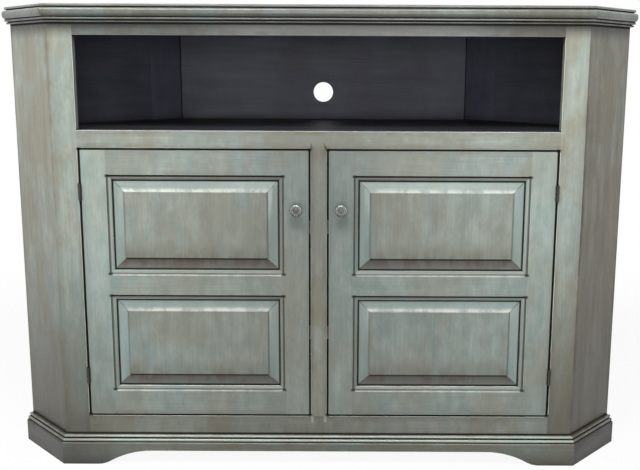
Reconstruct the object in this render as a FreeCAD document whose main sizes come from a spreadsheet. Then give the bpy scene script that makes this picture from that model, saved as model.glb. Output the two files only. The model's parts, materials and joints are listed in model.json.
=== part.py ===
import FreeCAD, Part
import os
import re
import Sketcher
from FreeCAD import Placement, Rotation, Vector

# Corner television stand: an open bay over two inset doors, with angled wings and a pointed back.
# The front faces -Y, +X is to the right and +Z is up. Lengths are in millimetres.
# The origin is on the floor, under the middle of the whole stand's box.

sizes = {
    # plan
    "front_width": 1143.0,          # face frame, corner to corner
    "wing_width": 174.5,            # each angled wing, across its face
    "corner_radius": 4.0,           # upright corners between the frame and the wings
    "board": 19.0,                  # solid boards and plywood of the carcass
    "carcass_depth": 421.0,         # face of the frame to the front of the back panel
    "back_panel_thickness": 6.0,
    "corner_board_width": 92.0,
    "outer_stile_width": 52.5,
    "centre_stile_width": 36.0,
    # heights, from the floor up
    "base_board_height": 51.6,
    "base_moulding_height": 14.4,
    "sill_reveal": 44.4,            # bottom rail that shows above the base
    "bottom_rail_height": 63.5,
    "door_opening_height": 606.5,
    "middle_rail_height": 38.1,
    "bay_height": 200.0,
    "top_rail_height": 36.7,
    "top_moulding_height": 10.6,    # hangs down over the top rail
    "nose_height": 19.4,            # rounded nose of the top board
    "step_height": 8.0,             # set back layer above the nose
    "step_quirk_height": 2.2,       # of the step, cut in as a dark line over the nose
    # overhangs, measured square to the faces
    "nose_overhang": 18.0,
    "step_setback": 6.0,
    "step_quirk_depth": 4.0,
    "nose_under_share": 0.5,        # of the nose's height, rounded from below
    "nose_upper_share": 0.33,       # of the nose's height, rounded from above
    "step_radius": 3.0,
    "base_overhang": 16.0,
    "base_edge_radius": 3.0,
    "small_bead_out": 9.0,
    "large_bead_out": 13.0,
    "bead_quirk_out": 5.0,
    "bead_quirk_height": 1.4,       # the groove between the two beads
    "small_bead_share": 0.4,        # of a moulding's height
    "bead_round_share": 0.46,       # of a bead's height, rounded above and below
    # scalloped base board
    "foot_length": 71.0,            # flat foot, from the frame's corner
    "arch_rise": 32.0,
    "arch_run": 122.0,              # foot to the level part of the arch
    "foot_curve_radius": 60.0,
    # doors
    "door_gap": 3.2,                # round a door, apart from its hinge side
    "hinge_gap": 4.5,               # door to the outer stile
    "door_thickness": 19.0,
    "door_stile_flat": 55.0,
    "door_top_rail_flat": 55.0,
    "door_middle_rail_flat": 46.5,
    "door_bottom_rail_flat": 57.0,
    "sticking_width": 10.0,
    "sticking_quirk": 2.2,
    "sticking_depth": 5.0,
    "round_ease": 1.05,             # how much flatter a moulded round is than one that starts level
    "groove_lip": 3.0,              # wood between the sticking and the panel groove
    "groove_width": 6.0,
    "groove_depth": 10.0,
    "panel_play": 2.0,              # panel edge to the bottom of its groove
    "panel_bevel": 26.0,            # hollow bevel, from the sticking to the raised field
    "panel_rise": 5.0,              # height gained by the bevel
    "panel_field_below": 1.5,       # raised field behind the door's face
    # knobs
    "knob_drop": 127.8,             # top of the door to the knob's middle
    "knob_radius": 13.5,
    "knob_reach": 26.0,
    "knob_rim_height": 7.0,
    "knob_rose_radius": 8.5,
    "knob_rose_thickness": 2.5,
    "knob_neck_radius": 5.0,
    "knob_dish_radius": 9.0,
    "knob_dish_depth": 1.2,
    "knob_screw_radius": 2.0,
    "knob_screw_clearance": 0.2,
    "knob_screw_bite": 12.0,
    "knob_screw_head_radius": 4.2,
    "knob_screw_head_height": 2.4,
    # butt hinges
    "hinge_height": 34.0,
    "hinge_inset": 92.0,            # door end to the hinge's middle
    "leaf_gap": 0.4,                # between the two leaves of a closed hinge
    "leaf_width": 15.0,
    "leaf_notch": 0.5,              # leaf edge to the other leaf's knuckle
    "knuckle_radius": 2.6,
    "knuckle_gap": 0.3,
    "pin_radius": 1.3,
    "pin_clearance": 0.05,
    "pin_head_height": 1.4,
    "hinge_screw_pitch": 20.0,
    "screw_head_radius": 2.6,
    "screw_head_height": 1.5,
    "screw_shank_radius": 1.4,
    "screw_length": 12.0,
    "screw_point": 2.0,
    # magnetic catches
    "upper_catch_drop": 172.3,      # top of the door to the upper catch's middle
    "lower_catch_rise": 185.8,      # bottom of the door to the lower catch's middle
    "catch_height": 42.0,
    "catch_plate": 3.0,             # ears that take the screws
    "catch_body_height": 28.0,
    "catch_width": 26.0,            # partition to the housing's free side
    "catch_depth": 14.0,
    "catch_gap": 0.3,
    "magnet_height": 22.0,
    "magnet_width": 10.0,
    "magnet_depth": 8.0,
    "magnet_edge": 2.0,             # magnet to the housing's free side
    "strike_thickness": 1.5,
    "strike_height": 30.0,
    "strike_width": 12.0,
    # shelves and pins
    "shelf_rise": 279.6,            # cupboard floor to the underside of the shelves
    "shelf_front": 45.0,            # face of the frame to the shelf's front edge
    "shelf_play": 2.0,
    "pin_hole_pitch": 38.0,
    "pin_hole_depth": 8.0,
    "shelf_pin_radius": 2.5,
    "shelf_pin_reach": 8.0,
    "shelf_pin_collar_radius": 4.0,
    "shelf_pin_collar": 1.2,
    "pin_front_row": 95.0,          # face of the frame to the front pins
    "pin_rear_inset": 71.0,         # rear pins to the back panel
    "wing_pin_share": 0.6,          # of the wing, from the frame's corner to its pin
    "side_pin_share": 0.76,         # of the rear side's inner face, from the wing to its pin
    # back panel and glue blocks
    "cable_hole_radius": 25.4,
    "cable_hole_rise": 71.0,        # above the bay floor
    "block_side": 19.0,
    "block_length": 60.0,
    "front_block_share": 0.525,     # of the way from the middle to the frame's corner
    "rear_block_share": 0.54,       # of the way from the middle to the back's inner corner
    "overrun": 5.0,                 # how far a cut runs past its piece
    "edge_tolerance": 0.3,          # how near its place an edge lies that gets a round
}

formulas = {
    "half_front": "front_width / 2",
    "half_opening": "half_front - outer_stile_width",
    "opening_width": "2 * half_opening",
    "half_centre": "centre_stile_width / 2",
    "wing_run": "wing_width * sqrt(0.5)",
    "board_slant": "board * sqrt(2)",
    "diagonal_sum": "half_front + 2 * wing_run",
    "back_reach": "carcass_depth + back_panel_thickness",
    # the knobs reach furthest forward, so the box's middle lies between them and the back panel
    "face": "(knob_reach - back_reach) / 2",
    "mitre": "sqrt(2) - 1",
    # a rounded front corner: its tangent points, and where its arc meets the mitre
    "corner_slip": "corner_radius * mitre",
    "corner_in": "corner_radius * (mitre - sqrt(2 - sqrt(2)) / 2)",
    "corner_back": "corner_radius * (1 - sqrt(2 + sqrt(2)) / 2)",
    "base_top": "base_board_height + base_moulding_height",
    "sill": "base_top + sill_reveal",
    "door_head": "sill + door_opening_height",
    "bay_sill": "door_head + middle_rail_height",
    "bay_head": "bay_sill + bay_height",
    "carcass_top": "bay_head + top_rail_height",
    "nose_top": "carcass_top + nose_height",
    "rail_foot": "sill - bottom_rail_height",
    # plan points of the right-hand side, measured from the frame's face
    "inner_corner": "diagonal_sum - board_slant - carcass_depth",
    "outer_corner": "diagonal_sum - carcass_depth",
    "joint_slip": "corner_board_width * sqrt(0.5)",
    "side_inner_end": "half_front + wing_run - board_slant",
    "wing_back": "wing_run + board * sqrt(0.5)",
    "wing_back_place": "half_front + wing_run - board * sqrt(0.5)",
    # doors
    "door_outer": "half_opening - hinge_gap",
    "door_inner": "half_centre + door_gap",
    "door_bottom": "sill + door_gap",
    "door_top": "door_head - door_gap",
    "door_width": "door_outer - door_inner",
    "door_tall": "door_top - door_bottom",
    "stile_wide": "door_stile_flat + sticking_width",
    "panel_gap": "(door_tall - door_top_rail_flat - door_middle_rail_flat - door_bottom_rail_flat) / 2",
    "lower_gap_foot": "door_bottom + door_bottom_rail_flat",
    "lower_gap_head": "lower_gap_foot + panel_gap",
    "upper_gap_foot": "lower_gap_head + door_middle_rail_flat",
    "upper_gap_head": "upper_gap_foot + panel_gap",
    "sticking_fall": "sticking_depth - sticking_quirk",
    "sticking_radius": "round_ease * (sticking_width ^ 2 + sticking_fall ^ 2) / (2 * sticking_fall)",
    "cove_radius": "round_ease * (panel_bevel ^ 2 + panel_rise ^ 2) / (2 * panel_rise)",
    "groove_front": "sticking_depth + groove_lip",
    "panel_back": "groove_front + groove_width",
    "panel_inset": "sticking_width - groove_depth + panel_play",
    "knob_place": "door_inner + door_stile_flat / 2",
    "knob_height": "door_top - knob_drop",
    # hinges
    "leaf_thickness": "(hinge_gap - leaf_gap) / 2",
    "barrel_place": "half_opening - hinge_gap / 2",
    "barrel_face": "face - knuckle_radius",
    "upper_hinge": "door_top - hinge_inset",
    "lower_hinge": "door_bottom + hinge_inset",
    "knuckle_height": "(hinge_height - 2 * knuckle_gap) / 3",
    # catches
    "upper_catch_level": "door_top - upper_catch_drop",
    "lower_catch_level": "door_bottom + lower_catch_rise",
    "catch_face": "face + door_thickness + strike_thickness + catch_gap",
    "catch_free_side": "board / 2 + catch_width",
    "catch_screw_pitch": "(catch_height + catch_body_height) / 2",
    # shelves and glue blocks
    "shelf_level": "sill + shelf_rise",
    "pin_rear_row": "carcass_depth - pin_rear_inset",
    "wing_pin_place": "wing_width * wing_pin_share",
    "side_pin_place": "(carcass_depth - joint_slip - wing_run) * sqrt(2) * side_pin_share",
    "front_block_place": "half_front * front_block_share",
    "rear_block_place": "inner_corner * rear_block_share",
    # base arch
    "arch_turn": "2 * atan(arch_rise / arch_run)",
    "arch_radius_sum": "arch_run / sin(arch_turn)",
    "arch_curve_radius": "arch_radius_sum - foot_curve_radius",
    "foot_end": "half_front - foot_length",
    "arch_bend": "foot_end - foot_curve_radius * sin(arch_turn)",
    "arch_bend_rise": "foot_curve_radius * (1 - cos(arch_turn))",
    "arch_end": "foot_end - arch_run",
}

doc = FreeCAD.newDocument("corner_tv_stand")
sheet = doc.addObject("Spreadsheet::Sheet", "Sizes")
aliases = list(sizes) + list(formulas)
parts = {}


def fill_sheet():
    cells = [(name, str(value)) for name, value in sizes.items()]
    cells += [(name, "=" + formula) for name, formula in formulas.items()]
    for row, (name, content) in enumerate(cells, start=1):
        sheet.set(f"A{row}", name)
        sheet.set(f"B{row}", content)
        sheet.setAlias(f"B{row}", name)
    doc.recompute()


def bound(formula):
    # a formula in plain names, pointed at the sheet's cells
    return re.sub(r"[a-z_]+", lambda word: "Sizes." * (word.group() in aliases) + word.group(), formula)


def value(formula):
    return float(sheet.evalExpression(formula))


def bind(thing, **formulas_of):
    for name, formula in formulas_of.items():
        thing.setExpression(name.replace("_of_", "."), bound(formula))


def keep(thing, name):
    thing.Label = name
    parts[name] = thing
    return thing


# sketches and solids

def origin_plane(body, role):
    return next(plane for plane in body.Origin.OriginFeatures if plane.Role == role)


def arc_between(start, end, bend):
    # an arc from start to end; a positive bend bulges to the right of the way from start to end
    chord = end - start
    radius = abs(bend)
    sagitta = radius - (radius ** 2 - (chord.Length / 2) ** 2) ** 0.5
    right = Vector(chord.y, -chord.x, 0).normalize()
    middle = (start + end) / 2 + right * (sagitta if bend > 0 else -sagitta)
    return Part.Arc(start, middle, end)


def add_outline(sketch, outline):
    # outline: corners as (x, y) or (x, y, bend to the next corner), all formulas
    corners = [Vector(value(corner[0]), value(corner[1]), 0) for corner in outline]
    edges = []
    for place, corner in enumerate(outline):
        start, end = corners[place], corners[(place + 1) % len(corners)]
        if len(corner) == 3:
            curve = arc_between(start, end, value(corner[2]))
        else:
            curve = Part.LineSegment(start, end)
        edge = sketch.addGeometry(curve)
        first, second = sketch.getPoint(edge, 1), sketch.getPoint(edge, 2)
        forward = first.distanceToPoint(start) < second.distanceToPoint(start)
        edges.append((edge, 1, 2) if forward else (edge, 2, 1))
    for place, corner in enumerate(outline):
        edge, first, last = edges[place]
        following, following_first, following_last = edges[(place + 1) % len(edges)]
        sketch.addConstraint(Sketcher.Constraint("Coincident", edge, last, following, following_first))
        for way, formula, length in (("DistanceX", corner[0], corners[place].x),
                                     ("DistanceY", corner[1], corners[place].y)):
            row = sketch.addConstraint(Sketcher.Constraint(way, edge, first, length))
            sketch.setExpression(f"Constraints[{row}]", bound(formula))
        if len(corner) == 3:
            row = sketch.addConstraint(Sketcher.Constraint("Radius", edge, abs(value(corner[2]))))
            sketch.setExpression(f"Constraints[{row}]", bound(f"abs({corner[2]})"))


def add_circle(sketch, across, up, radius):
    centre = Vector(value(across), value(up), 0)
    circle = sketch.addGeometry(Part.Circle(centre, Vector(0, 0, 1), value(radius)))
    for way, formula, length in (("DistanceX", across, centre.x), ("DistanceY", up, centre.y)):
        row = sketch.addConstraint(Sketcher.Constraint(way, circle, 3, length))
        sketch.setExpression(f"Constraints[{row}]", bound(formula))
    row = sketch.addConstraint(Sketcher.Constraint("Radius", circle, value(radius)))
    sketch.setExpression(f"Constraints[{row}]", bound(radius))


def draw(body, label, role, outlines=(), circles=(), offset="0"):
    sketch = body.newObject("Sketcher::SketchObject", label)
    sketch.AttachmentSupport = [(origin_plane(body, role), "")]
    sketch.MapMode = "FlatFace"
    sketch.setExpression("AttachmentOffset.Base.z", bound(offset))
    for outline in outlines:
        add_outline(sketch, outline)
    for circle in circles:
        add_circle(sketch, *circle)
    return sketch


def pad(body, sketch, length, reverse=False):
    feature = body.newObject("PartDesign::Pad", "Pad")
    feature.Profile = sketch
    feature.Reversed = reverse
    feature.setExpression("Length", bound(length))
    sketch.Visibility = False
    return feature


def pocket(body, sketch, length):
    # a cut both ways from the sketch, checked to take something away
    doc.recompute()
    before = body.Shape.Volume
    feature = body.newObject("PartDesign::Pocket", "Pocket")
    feature.Profile = sketch
    feature.Midplane = True
    feature.setExpression("Length", bound(length))
    doc.recompute()
    if not body.Shape.Volume < before:
        raise ValueError(f"{sketch.Label} cuts nothing")
    return feature


def round_edges(body, radius, chosen):
    # fillets the straight edges of the body's last feature that the test picks
    doc.recompute()
    base = body.Tip
    names = [f"Edge{place}" for place, edge in enumerate(base.Shape.Edges, start=1) if chosen(edge)]
    fillet = body.newObject("PartDesign::Fillet", "Fillet")
    fillet.Base = (base, names)
    fillet.setExpression("Radius", bound(radius))
    doc.recompute()
    return fillet


def new_body(name):
    return doc.addObject("PartDesign::Body", name)


def upright(name, outline, foot, height):
    # a piece of steady plan, standing on foot
    body = new_body(name)
    sketch = draw(body, name + "_plan", "XY_Plane", [outline], offset=foot)
    pad(body, sketch, height)
    return body


def block(name, corner, extent):
    # a plain box from its lowest corner
    box = doc.addObject("Part::Box", name)
    bind(box, Length=extent[0], Width=extent[1], Height=extent[2],
         Placement_of_Base_of_x=corner[0], Placement_of_Base_of_y=corner[1], Placement_of_Base_of_z=corner[2])
    return box


def group(name, things):
    together = doc.addObject("Part::Compound", name)
    together.Links = things
    return together


def fused(name, things):
    whole = doc.addObject("Part::MultiFuse", name)
    whole.Shapes = things
    return whole


def cut(name, base, tool):
    difference = doc.addObject("Part::Cut", name)
    difference.Base = base
    difference.Tool = tool
    return difference


def sided(side, formula):
    # a distance to the right, or the same to the left
    return formula if side > 0 else f"-({formula})"


def in_plan(side, points):
    # plan points of the right-hand side, given from the frame's face, for either side
    return [(sided(side, across), f"face + {back}", *(sided(side, bend) for bend in bends))
            for across, back, *bends in points]


# plan of the carcass

def strip_plan(where, inner, outer):
    # a mitred board in front of the frame or a wing, between two distances from the faces
    if where == "front":
        return [(f"-half_front - {outer} * mitre", f"face - {outer}"),
                (f"half_front + {outer} * mitre", f"face - {outer}"),
                (f"half_front + {inner} * mitre", f"face - {inner}"),
                (f"-half_front - {inner} * mitre", f"face - {inner}")]
    side = 1 if where == "right" else -1
    return in_plan(side, [(f"half_front + {outer} * mitre", f"-{outer}"),
                          (f"half_front + wing_run + {outer} * sqrt(0.5)", f"wing_run - {outer} * sqrt(0.5)"),
                          (f"half_front + wing_run + {inner} * sqrt(0.5)", f"wing_run - {inner} * sqrt(0.5)"),
                          (f"half_front + {inner} * mitre", f"-{inner}")])


def top_plan(overhang):
    # the whole top, flush with the rear sides and with the back panel
    right = [(f"half_front + {overhang} * mitre", f"-{overhang}"),
             (f"half_front + wing_run + {overhang} * sqrt(0.5)", f"wing_run - {overhang} * sqrt(0.5)"),
             ("diagonal_sum - back_reach", "back_reach")]
    return in_plan(1, right) + in_plan(-1, right[::-1])


def inside_plan(side, near, front, slack):
    # a level board inside one half, from the middle out, kept slack away from its walls
    spare = f"{slack} * sqrt(2)"
    return in_plan(side, [
        (near, front),
        (f"half_front - board_slant + {front} - {spare}", front),
        (f"side_inner_end - {spare}", "wing_run"),
        (f"inner_corner + {slack} - {spare}", f"carcass_depth - {slack}"),
        (near, f"carcass_depth - {slack}")])


def whole_floor_plan():
    # a level board that fills the carcass behind the frame, wall to wall
    right = [("half_front - board_slant + board", "board"),
             ("side_inner_end", "wing_run"),
             ("inner_corner", "carcass_depth")]
    return in_plan(1, right) + in_plan(-1, right[::-1])


def outer_edge(level, out):
    # the long level edges that stand out this far from the front or from a wing
    def chosen(edge):
        middle = edge.CenterOfMass
        off_level = abs(middle.z - value(level)) + edge.BoundBox.ZLength
        from_front = value("face") - middle.y
        from_wing = (abs(middle.x) - value("half_front") + from_front) * 0.5 ** 0.5
        reach = from_front if abs(middle.x) < value("half_front") else from_wing
        return max(off_level, abs(reach - value(out))) < value("edge_tolerance")
    return chosen


def add_layers(body, name, plan_of, level, layers):
    # level layers upon one another, each with its reach, its height and its rounds below and above
    for out, height, below, above in layers:
        sketch = draw(body, name + "_plan", "XY_Plane", [plan_of(out)], offset=level)
        pad(body, sketch, height)
        head = f"{level} + {height}"
        for end, radius in ((level, below), (head, above)):
            if radius:
                round_edges(body, radius, outer_edge(end, out))
        level = head


def make_top():
    body = new_body("top_board")
    step_out = "(nose_overhang - step_setback)"
    add_layers(body, "top", top_plan, "carcass_top", [
        ("nose_overhang", "nose_height", "nose_height * nose_under_share", "nose_height * nose_upper_share"),
        (f"({step_out} - step_quirk_depth)", "step_quirk_height", None, None),
        (step_out, "(step_height - step_quirk_height)", None, "step_radius")])
    keep(body, "top_board")


def make_moulding(kind, where, foot, large_first):
    # two beads and the groove between them; the large bead lies next to the board that it meets
    name = f"{kind}_moulding_{where}"
    tall = f"{kind}_moulding_height"
    beads = []
    for out, height in (("small_bead_out", f"({tall} * small_bead_share)"),
                        ("large_bead_out", f"({tall} * (1 - small_bead_share) - bead_quirk_height)")):
        radius = f"{height} * bead_round_share"
        beads.append((out, height, radius, radius))
    beads.insert(1, ("bead_quirk_out", "bead_quirk_height", None, None))
    body = new_body(name)
    add_layers(body, name, lambda out: strip_plan(where, "0", out), foot, beads[::-1] if large_first else beads)
    keep(body, name)


def make_mouldings():
    for where in ("front", "left", "right"):
        make_moulding("top", where, "(carcass_top - top_moulding_height)", False)
        make_moulding("base", where, "base_board_height", True)


def make_base_boards():
    for where in ("front", "left", "right"):
        name = "base_board_" + where
        body = new_body(name)
        sketch = draw(body, name + "_plan", "XY_Plane", [strip_plan(where, "0", "base_overhang")])
        pad(body, sketch, "base_board_height")
        round_edges(body, "base_edge_radius", outer_edge("base_board_height", "base_overhang"))
        if where == "front":
            pocket(body, draw(body, "arch", "XZ_Plane", [arch_outline()]), "front_width")
        keep(body, name)


def arch_outline():
    # two tangent arcs at each end of a level line, open to the floor
    right = [("arch_end", "arch_rise"), ("arch_bend", "arch_bend_rise"), ("foot_end", "0")]
    return [("-arch_end", "arch_rise"), (*right[0], "-arch_curve_radius"), (*right[1], "foot_curve_radius"),
            right[2], ("foot_end", "-overrun"), ("-foot_end", "-overrun"),
            ("-foot_end", "0", "foot_curve_radius"), ("-arch_bend", "arch_bend_rise", "-arch_curve_radius")]


# carcass

def make_face_frame():
    for side, name in ((-1, "left"), (1, "right")):
        plan = in_plan(side, [("half_opening", "0"), ("half_front - corner_slip", "0", "corner_radius"),
                              ("half_front - corner_in", "corner_back"),
                              ("half_front - board * mitre", "board"), ("half_opening", "board")])
        blank = upright(f"stile_{name}_blank", plan, "0", "carcass_top")
        keep(cut("stile_" + name, blank, frame_leaf_screws), "stile_" + name)
    for name, foot in (("top_rail", "bay_head"), ("middle_rail", "door_head"), ("bottom_rail", "rail_foot")):
        extent = ("opening_width", "board", name + "_height")
        keep(block(name, ("-half_opening", "face", foot), extent), name)
    keep(block("centre_stile", ("-half_centre", "face", "sill"),
               ("centre_stile_width", "board", "door_opening_height")), "centre_stile")


def make_walls():
    half_board = "board * sqrt(0.5)"
    joint_outer = (f"outer_corner + joint_slip - {half_board}", f"carcass_depth - joint_slip + {half_board}")
    joint_inner = ("inner_corner + joint_slip", "carcass_depth - joint_slip")
    for side, name in ((-1, "left"), (1, "right")):
        wing = in_plan(side, [("half_front - corner_in", "corner_back", "corner_radius"),
                              ("half_front + corner_slip * sqrt(0.5)", "corner_slip * sqrt(0.5)"),
                              ("half_front + wing_run", "wing_run"),
                              ("wing_back_place", "wing_back"), ("half_front - board * mitre", "board")])
        wing_board = upright("wing_blank_" + name, wing, "0", "carcass_top")
        keep(cut("wing_" + name, wing_board, pin_holes(side, "wing")), "wing_" + name)
        rear_side = in_plan(side, [("side_inner_end", "wing_run"), ("wing_back_place", "wing_back"),
                                   joint_outer, joint_inner])
        side_board = upright("side_blank_" + name, rear_side, "0", "carcass_top")
        keep(cut("rear_side_" + name, side_board, pin_holes(side, "rear_side")), "rear_side_" + name)
        corner = in_plan(side, [("inner_corner", "carcass_depth"), ("outer_corner", "carcass_depth"),
                                joint_outer, joint_inner])
        keep(upright("corner_board_" + name, corner, "0", "carcass_top"), "corner_board_" + name)


def make_back_panel():
    body = new_body("back_panel")
    corners = [("-(diagonal_sum - back_reach)", "rail_foot"), ("diagonal_sum - back_reach", "rail_foot"),
               ("diagonal_sum - back_reach", "carcass_top"), ("-(diagonal_sum - back_reach)", "carcass_top")]
    sheet_sketch = draw(body, "back_outline", "XZ_Plane", [corners],
                        [("0", "bay_sill + cable_hole_rise", "cable_hole_radius")],
                        offset="-(face + carcass_depth)")
    pad(body, sheet_sketch, "back_panel_thickness", reverse=True)
    keep(body, "back_panel")


def make_floors():
    keep(upright("bay_floor", whole_floor_plan(), "bay_sill - board", "board"), "bay_floor")
    keep(upright("cupboard_floor", whole_floor_plan(), "sill - board", "board"), "cupboard_floor")


def make_partition():
    partition = block("partition_blank", ("-board / 2", "face + board", "sill"),
                      ("board", "carcass_depth - board", "bay_sill - board - sill"))
    drilled = cut("partition_drilled", partition,
                  group("partition_pin_holes", [pin_holes(-1, "partition"), pin_holes(1, "partition")]))
    keep(cut("partition", drilled, catch_screws), "partition")


# shelves and their pins: each wall has its seats, from the shelf's own plan

pin_seats = {
    # where a pin stands on the right-hand half's wall, then the way into the wall, across and back
    "partition_front": ("board / 2", "pin_front_row", "-1", "0"),
    "partition_rear": ("board / 2", "pin_rear_row", "-1", "0"),
    "wing": ("half_front - board_slant + wing_pin_place * sqrt(0.5)", "wing_pin_place * sqrt(0.5)",
             "sqrt(0.5)", "-sqrt(0.5)"),
    "rear_side": ("side_inner_end - side_pin_place * sqrt(0.5)", "wing_run + side_pin_place * sqrt(0.5)",
                  "sqrt(0.5)", "sqrt(0.5)"),
}
pin_level = "(shelf_level - shelf_pin_radius)"
spare_rows = 3  # of pin holes, above the shelf and as many below


def seat_rod(side, seat, radius, level, stand_off, length):
    # a round on a seat's axis, from stand_off in front of the wall for its length towards the wall
    across, back, into_across, into_back = pin_seats[seat]
    rod = doc.addObject("Part::Cylinder", seat + "_rod")
    heading = Vector(side * value(into_across), value(into_back), 0)
    rod.Placement = Placement(Vector(), Rotation(Vector(0, 0, 1), heading))
    bind(rod, Radius=radius, Height=length,
         Placement_of_Base_of_x=sided(side, f"{across} - {stand_off} * ({into_across})"),
         Placement_of_Base_of_y=f"face + {back} - {stand_off} * ({into_back})",
         Placement_of_Base_of_z=level)
    return rod


def pin_holes(side, wall):
    # rows of holes for the shelf pins, the middle one at the shelf
    rods = []
    for seat in pin_seats:
        if seat.startswith(wall):
            for row in range(-spare_rows, spare_rows + 1):
                level = f"{pin_level} + {row} * pin_hole_pitch"
                rods.append(seat_rod(side, seat, "shelf_pin_radius", level, "0", "pin_hole_depth"))
    return group(wall + "_holes", rods)


def shelf_pin(side, seat):
    stem = seat_rod(side, seat, "shelf_pin_radius", pin_level, "shelf_pin_reach",
                    "shelf_pin_reach + pin_hole_depth")
    collar = seat_rod(side, seat, "shelf_pin_collar_radius", pin_level,
                      "shelf_pin_collar", "shelf_pin_collar")
    return fused("shelf_pin", [stem, collar])


def make_shelves():
    for side, name in ((-1, "left"), (1, "right")):
        plan = inside_plan(side, "board / 2 + shelf_play", "shelf_front", "shelf_play")
        keep(upright("shelf_" + name, plan, "shelf_level", "board"), "shelf_" + name)
    pins = [shelf_pin(side, seat) for side in (-1, 1) for seat in pin_seats]
    keep(group("shelf_pins", pins), "shelf_pins")


# doors

def member_outline(start, flat_start, flat_end, end, place):
    # a door member's closed section, from its start to its end and from the face to the back
    # an edge beyond its flat is moulded and grooved for the panels; place puts a corner on its plane
    def edge(flat, tip, inward):
        if flat == tip:
            return [(tip, "0"), (tip, "door_thickness")]
        bottom = f"{tip} {inward} groove_depth"
        return [(flat, "0"), (flat, "sticking_quirk", "sticking_radius"), (tip, "sticking_depth"),
                (tip, "groove_front"), (bottom, "groove_front"), (bottom, "panel_back"), (tip, "panel_back"),
                (tip, "door_thickness")]

    corners = edge(flat_end, end, "-")
    first = edge(flat_start, start, "+")[::-1]
    if len(first) > 2:
        # taken backwards, the round belongs to the corner before its quirk
        quirk = first.index((flat_start, "sticking_quirk", "sticking_radius"))
        first[quirk] = (flat_start, "sticking_quirk")
        first[quirk - 1] = (start, "sticking_depth", "sticking_radius")
    return [place(*corner) for corner in corners + first]


def make_door_stile(side, door, kind):
    # a stile stands in plan, so its section's depth runs back from the face
    across = {
        "hinge": ("door_outer - stile_wide", "door_outer - door_stile_flat", "door_outer", "door_outer"),
        "latch": ("door_inner", "door_inner", "door_inner + door_stile_flat", "door_inner + stile_wide"),
    }[kind]

    def place(along, depth, bend=None):
        corner = (sided(side, along), f"face + {depth}")
        return corner if bend is None else (*corner, bend if side > 0 else f"-{bend}")

    name = f"{door}_door_{kind}_stile"
    return upright(name + "_blank", member_outline(*across, place), "door_bottom", "door_tall")


def make_door_rail(side, door, kind, stiles):
    # a rail's blank runs between the stiles' flats; the stiles cut its coped ends
    upward = {
        "top": ("upper_gap_head - sticking_width", "upper_gap_head", "door_top", "door_top"),
        "middle": ("lower_gap_head - sticking_width", "lower_gap_head", "upper_gap_foot",
                   "upper_gap_foot + sticking_width"),
        "bottom": ("door_bottom", "door_bottom", "lower_gap_foot", "lower_gap_foot + sticking_width"),
    }[kind]

    def place(along, depth, bend=None):
        corner = (f"face + {depth}", along)
        return corner if bend is None else (*corner, f"-{bend}")

    name = f"{door}_door_{kind}_rail"
    body = new_body(name + "_blank")
    near = sided(side, "door_inner + door_stile_flat" if side > 0 else "door_outer - door_stile_flat")
    section = draw(body, name + "_section", "YZ_Plane", [member_outline(*upward, place)], offset=near)
    pad(body, section, "door_width - 2 * door_stile_flat")
    keep(cut(name, body, stiles), name)


def make_raised_panel(side, door, kind):
    # a flat-backed panel: tongue in the grooves, a bevel all round, then the raised field
    foot, head = f"{kind}_gap_foot", f"{kind}_gap_head"
    left = "door_inner + door_stile_flat" if side > 0 else "-(door_outer - door_stile_flat)"
    right = "door_outer - door_stile_flat" if side > 0 else "-(door_inner + door_stile_flat)"
    name = f"{door}_door_{kind}_panel"
    body = new_body(name)
    west, east = f"{left} + panel_inset", f"{right} - panel_inset"
    low, high = f"{foot} + panel_inset", f"{head} - panel_inset"
    corners = [(west, low), (east, low), (east, high), (west, high)]
    outline = draw(body, name + "_outline", "XZ_Plane", [corners], offset="-(face + panel_back)")
    pad(body, outline, "panel_back - panel_field_below")
    across = draw(body, name + "_side_bevels", "XY_Plane",
                  [bevel_outline(west, f"{left} + sticking_width", 1, False),
                   bevel_outline(east, f"{right} - sticking_width", -1, False)])
    pocket(body, across, "2 * carcass_top")
    upward = draw(body, name + "_end_bevels", "YZ_Plane",
                  [bevel_outline(low, f"{foot} + sticking_width", 1, True),
                   bevel_outline(high, f"{head} - sticking_width", -1, True)])
    pocket(body, upward, "2 * front_width")
    keep(body, name)


def bevel_outline(edge, start, way, upright_section):
    # what the cutter takes from one edge: the tongue's face, the hollow and the small step to the field
    inward, outward = ("+", "-") if way > 0 else ("-", "+")
    cove = sided(way if upright_section else -way, "cove_radius")
    points = [(f"{edge} {outward} overrun", "groove_front"), (start, "groove_front", cove),
              (f"{start} {inward} panel_bevel", "groove_front - panel_rise"),
              (f"{start} {inward} panel_bevel", "panel_field_below - overrun"),
              (f"{edge} {outward} overrun", "panel_field_below - overrun")]
    if upright_section:
        return [(f"face + {depth}", along, *bend) for along, depth, *bend in points]
    return [(along, f"face + {depth}", *bend) for along, depth, *bend in points]


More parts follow.
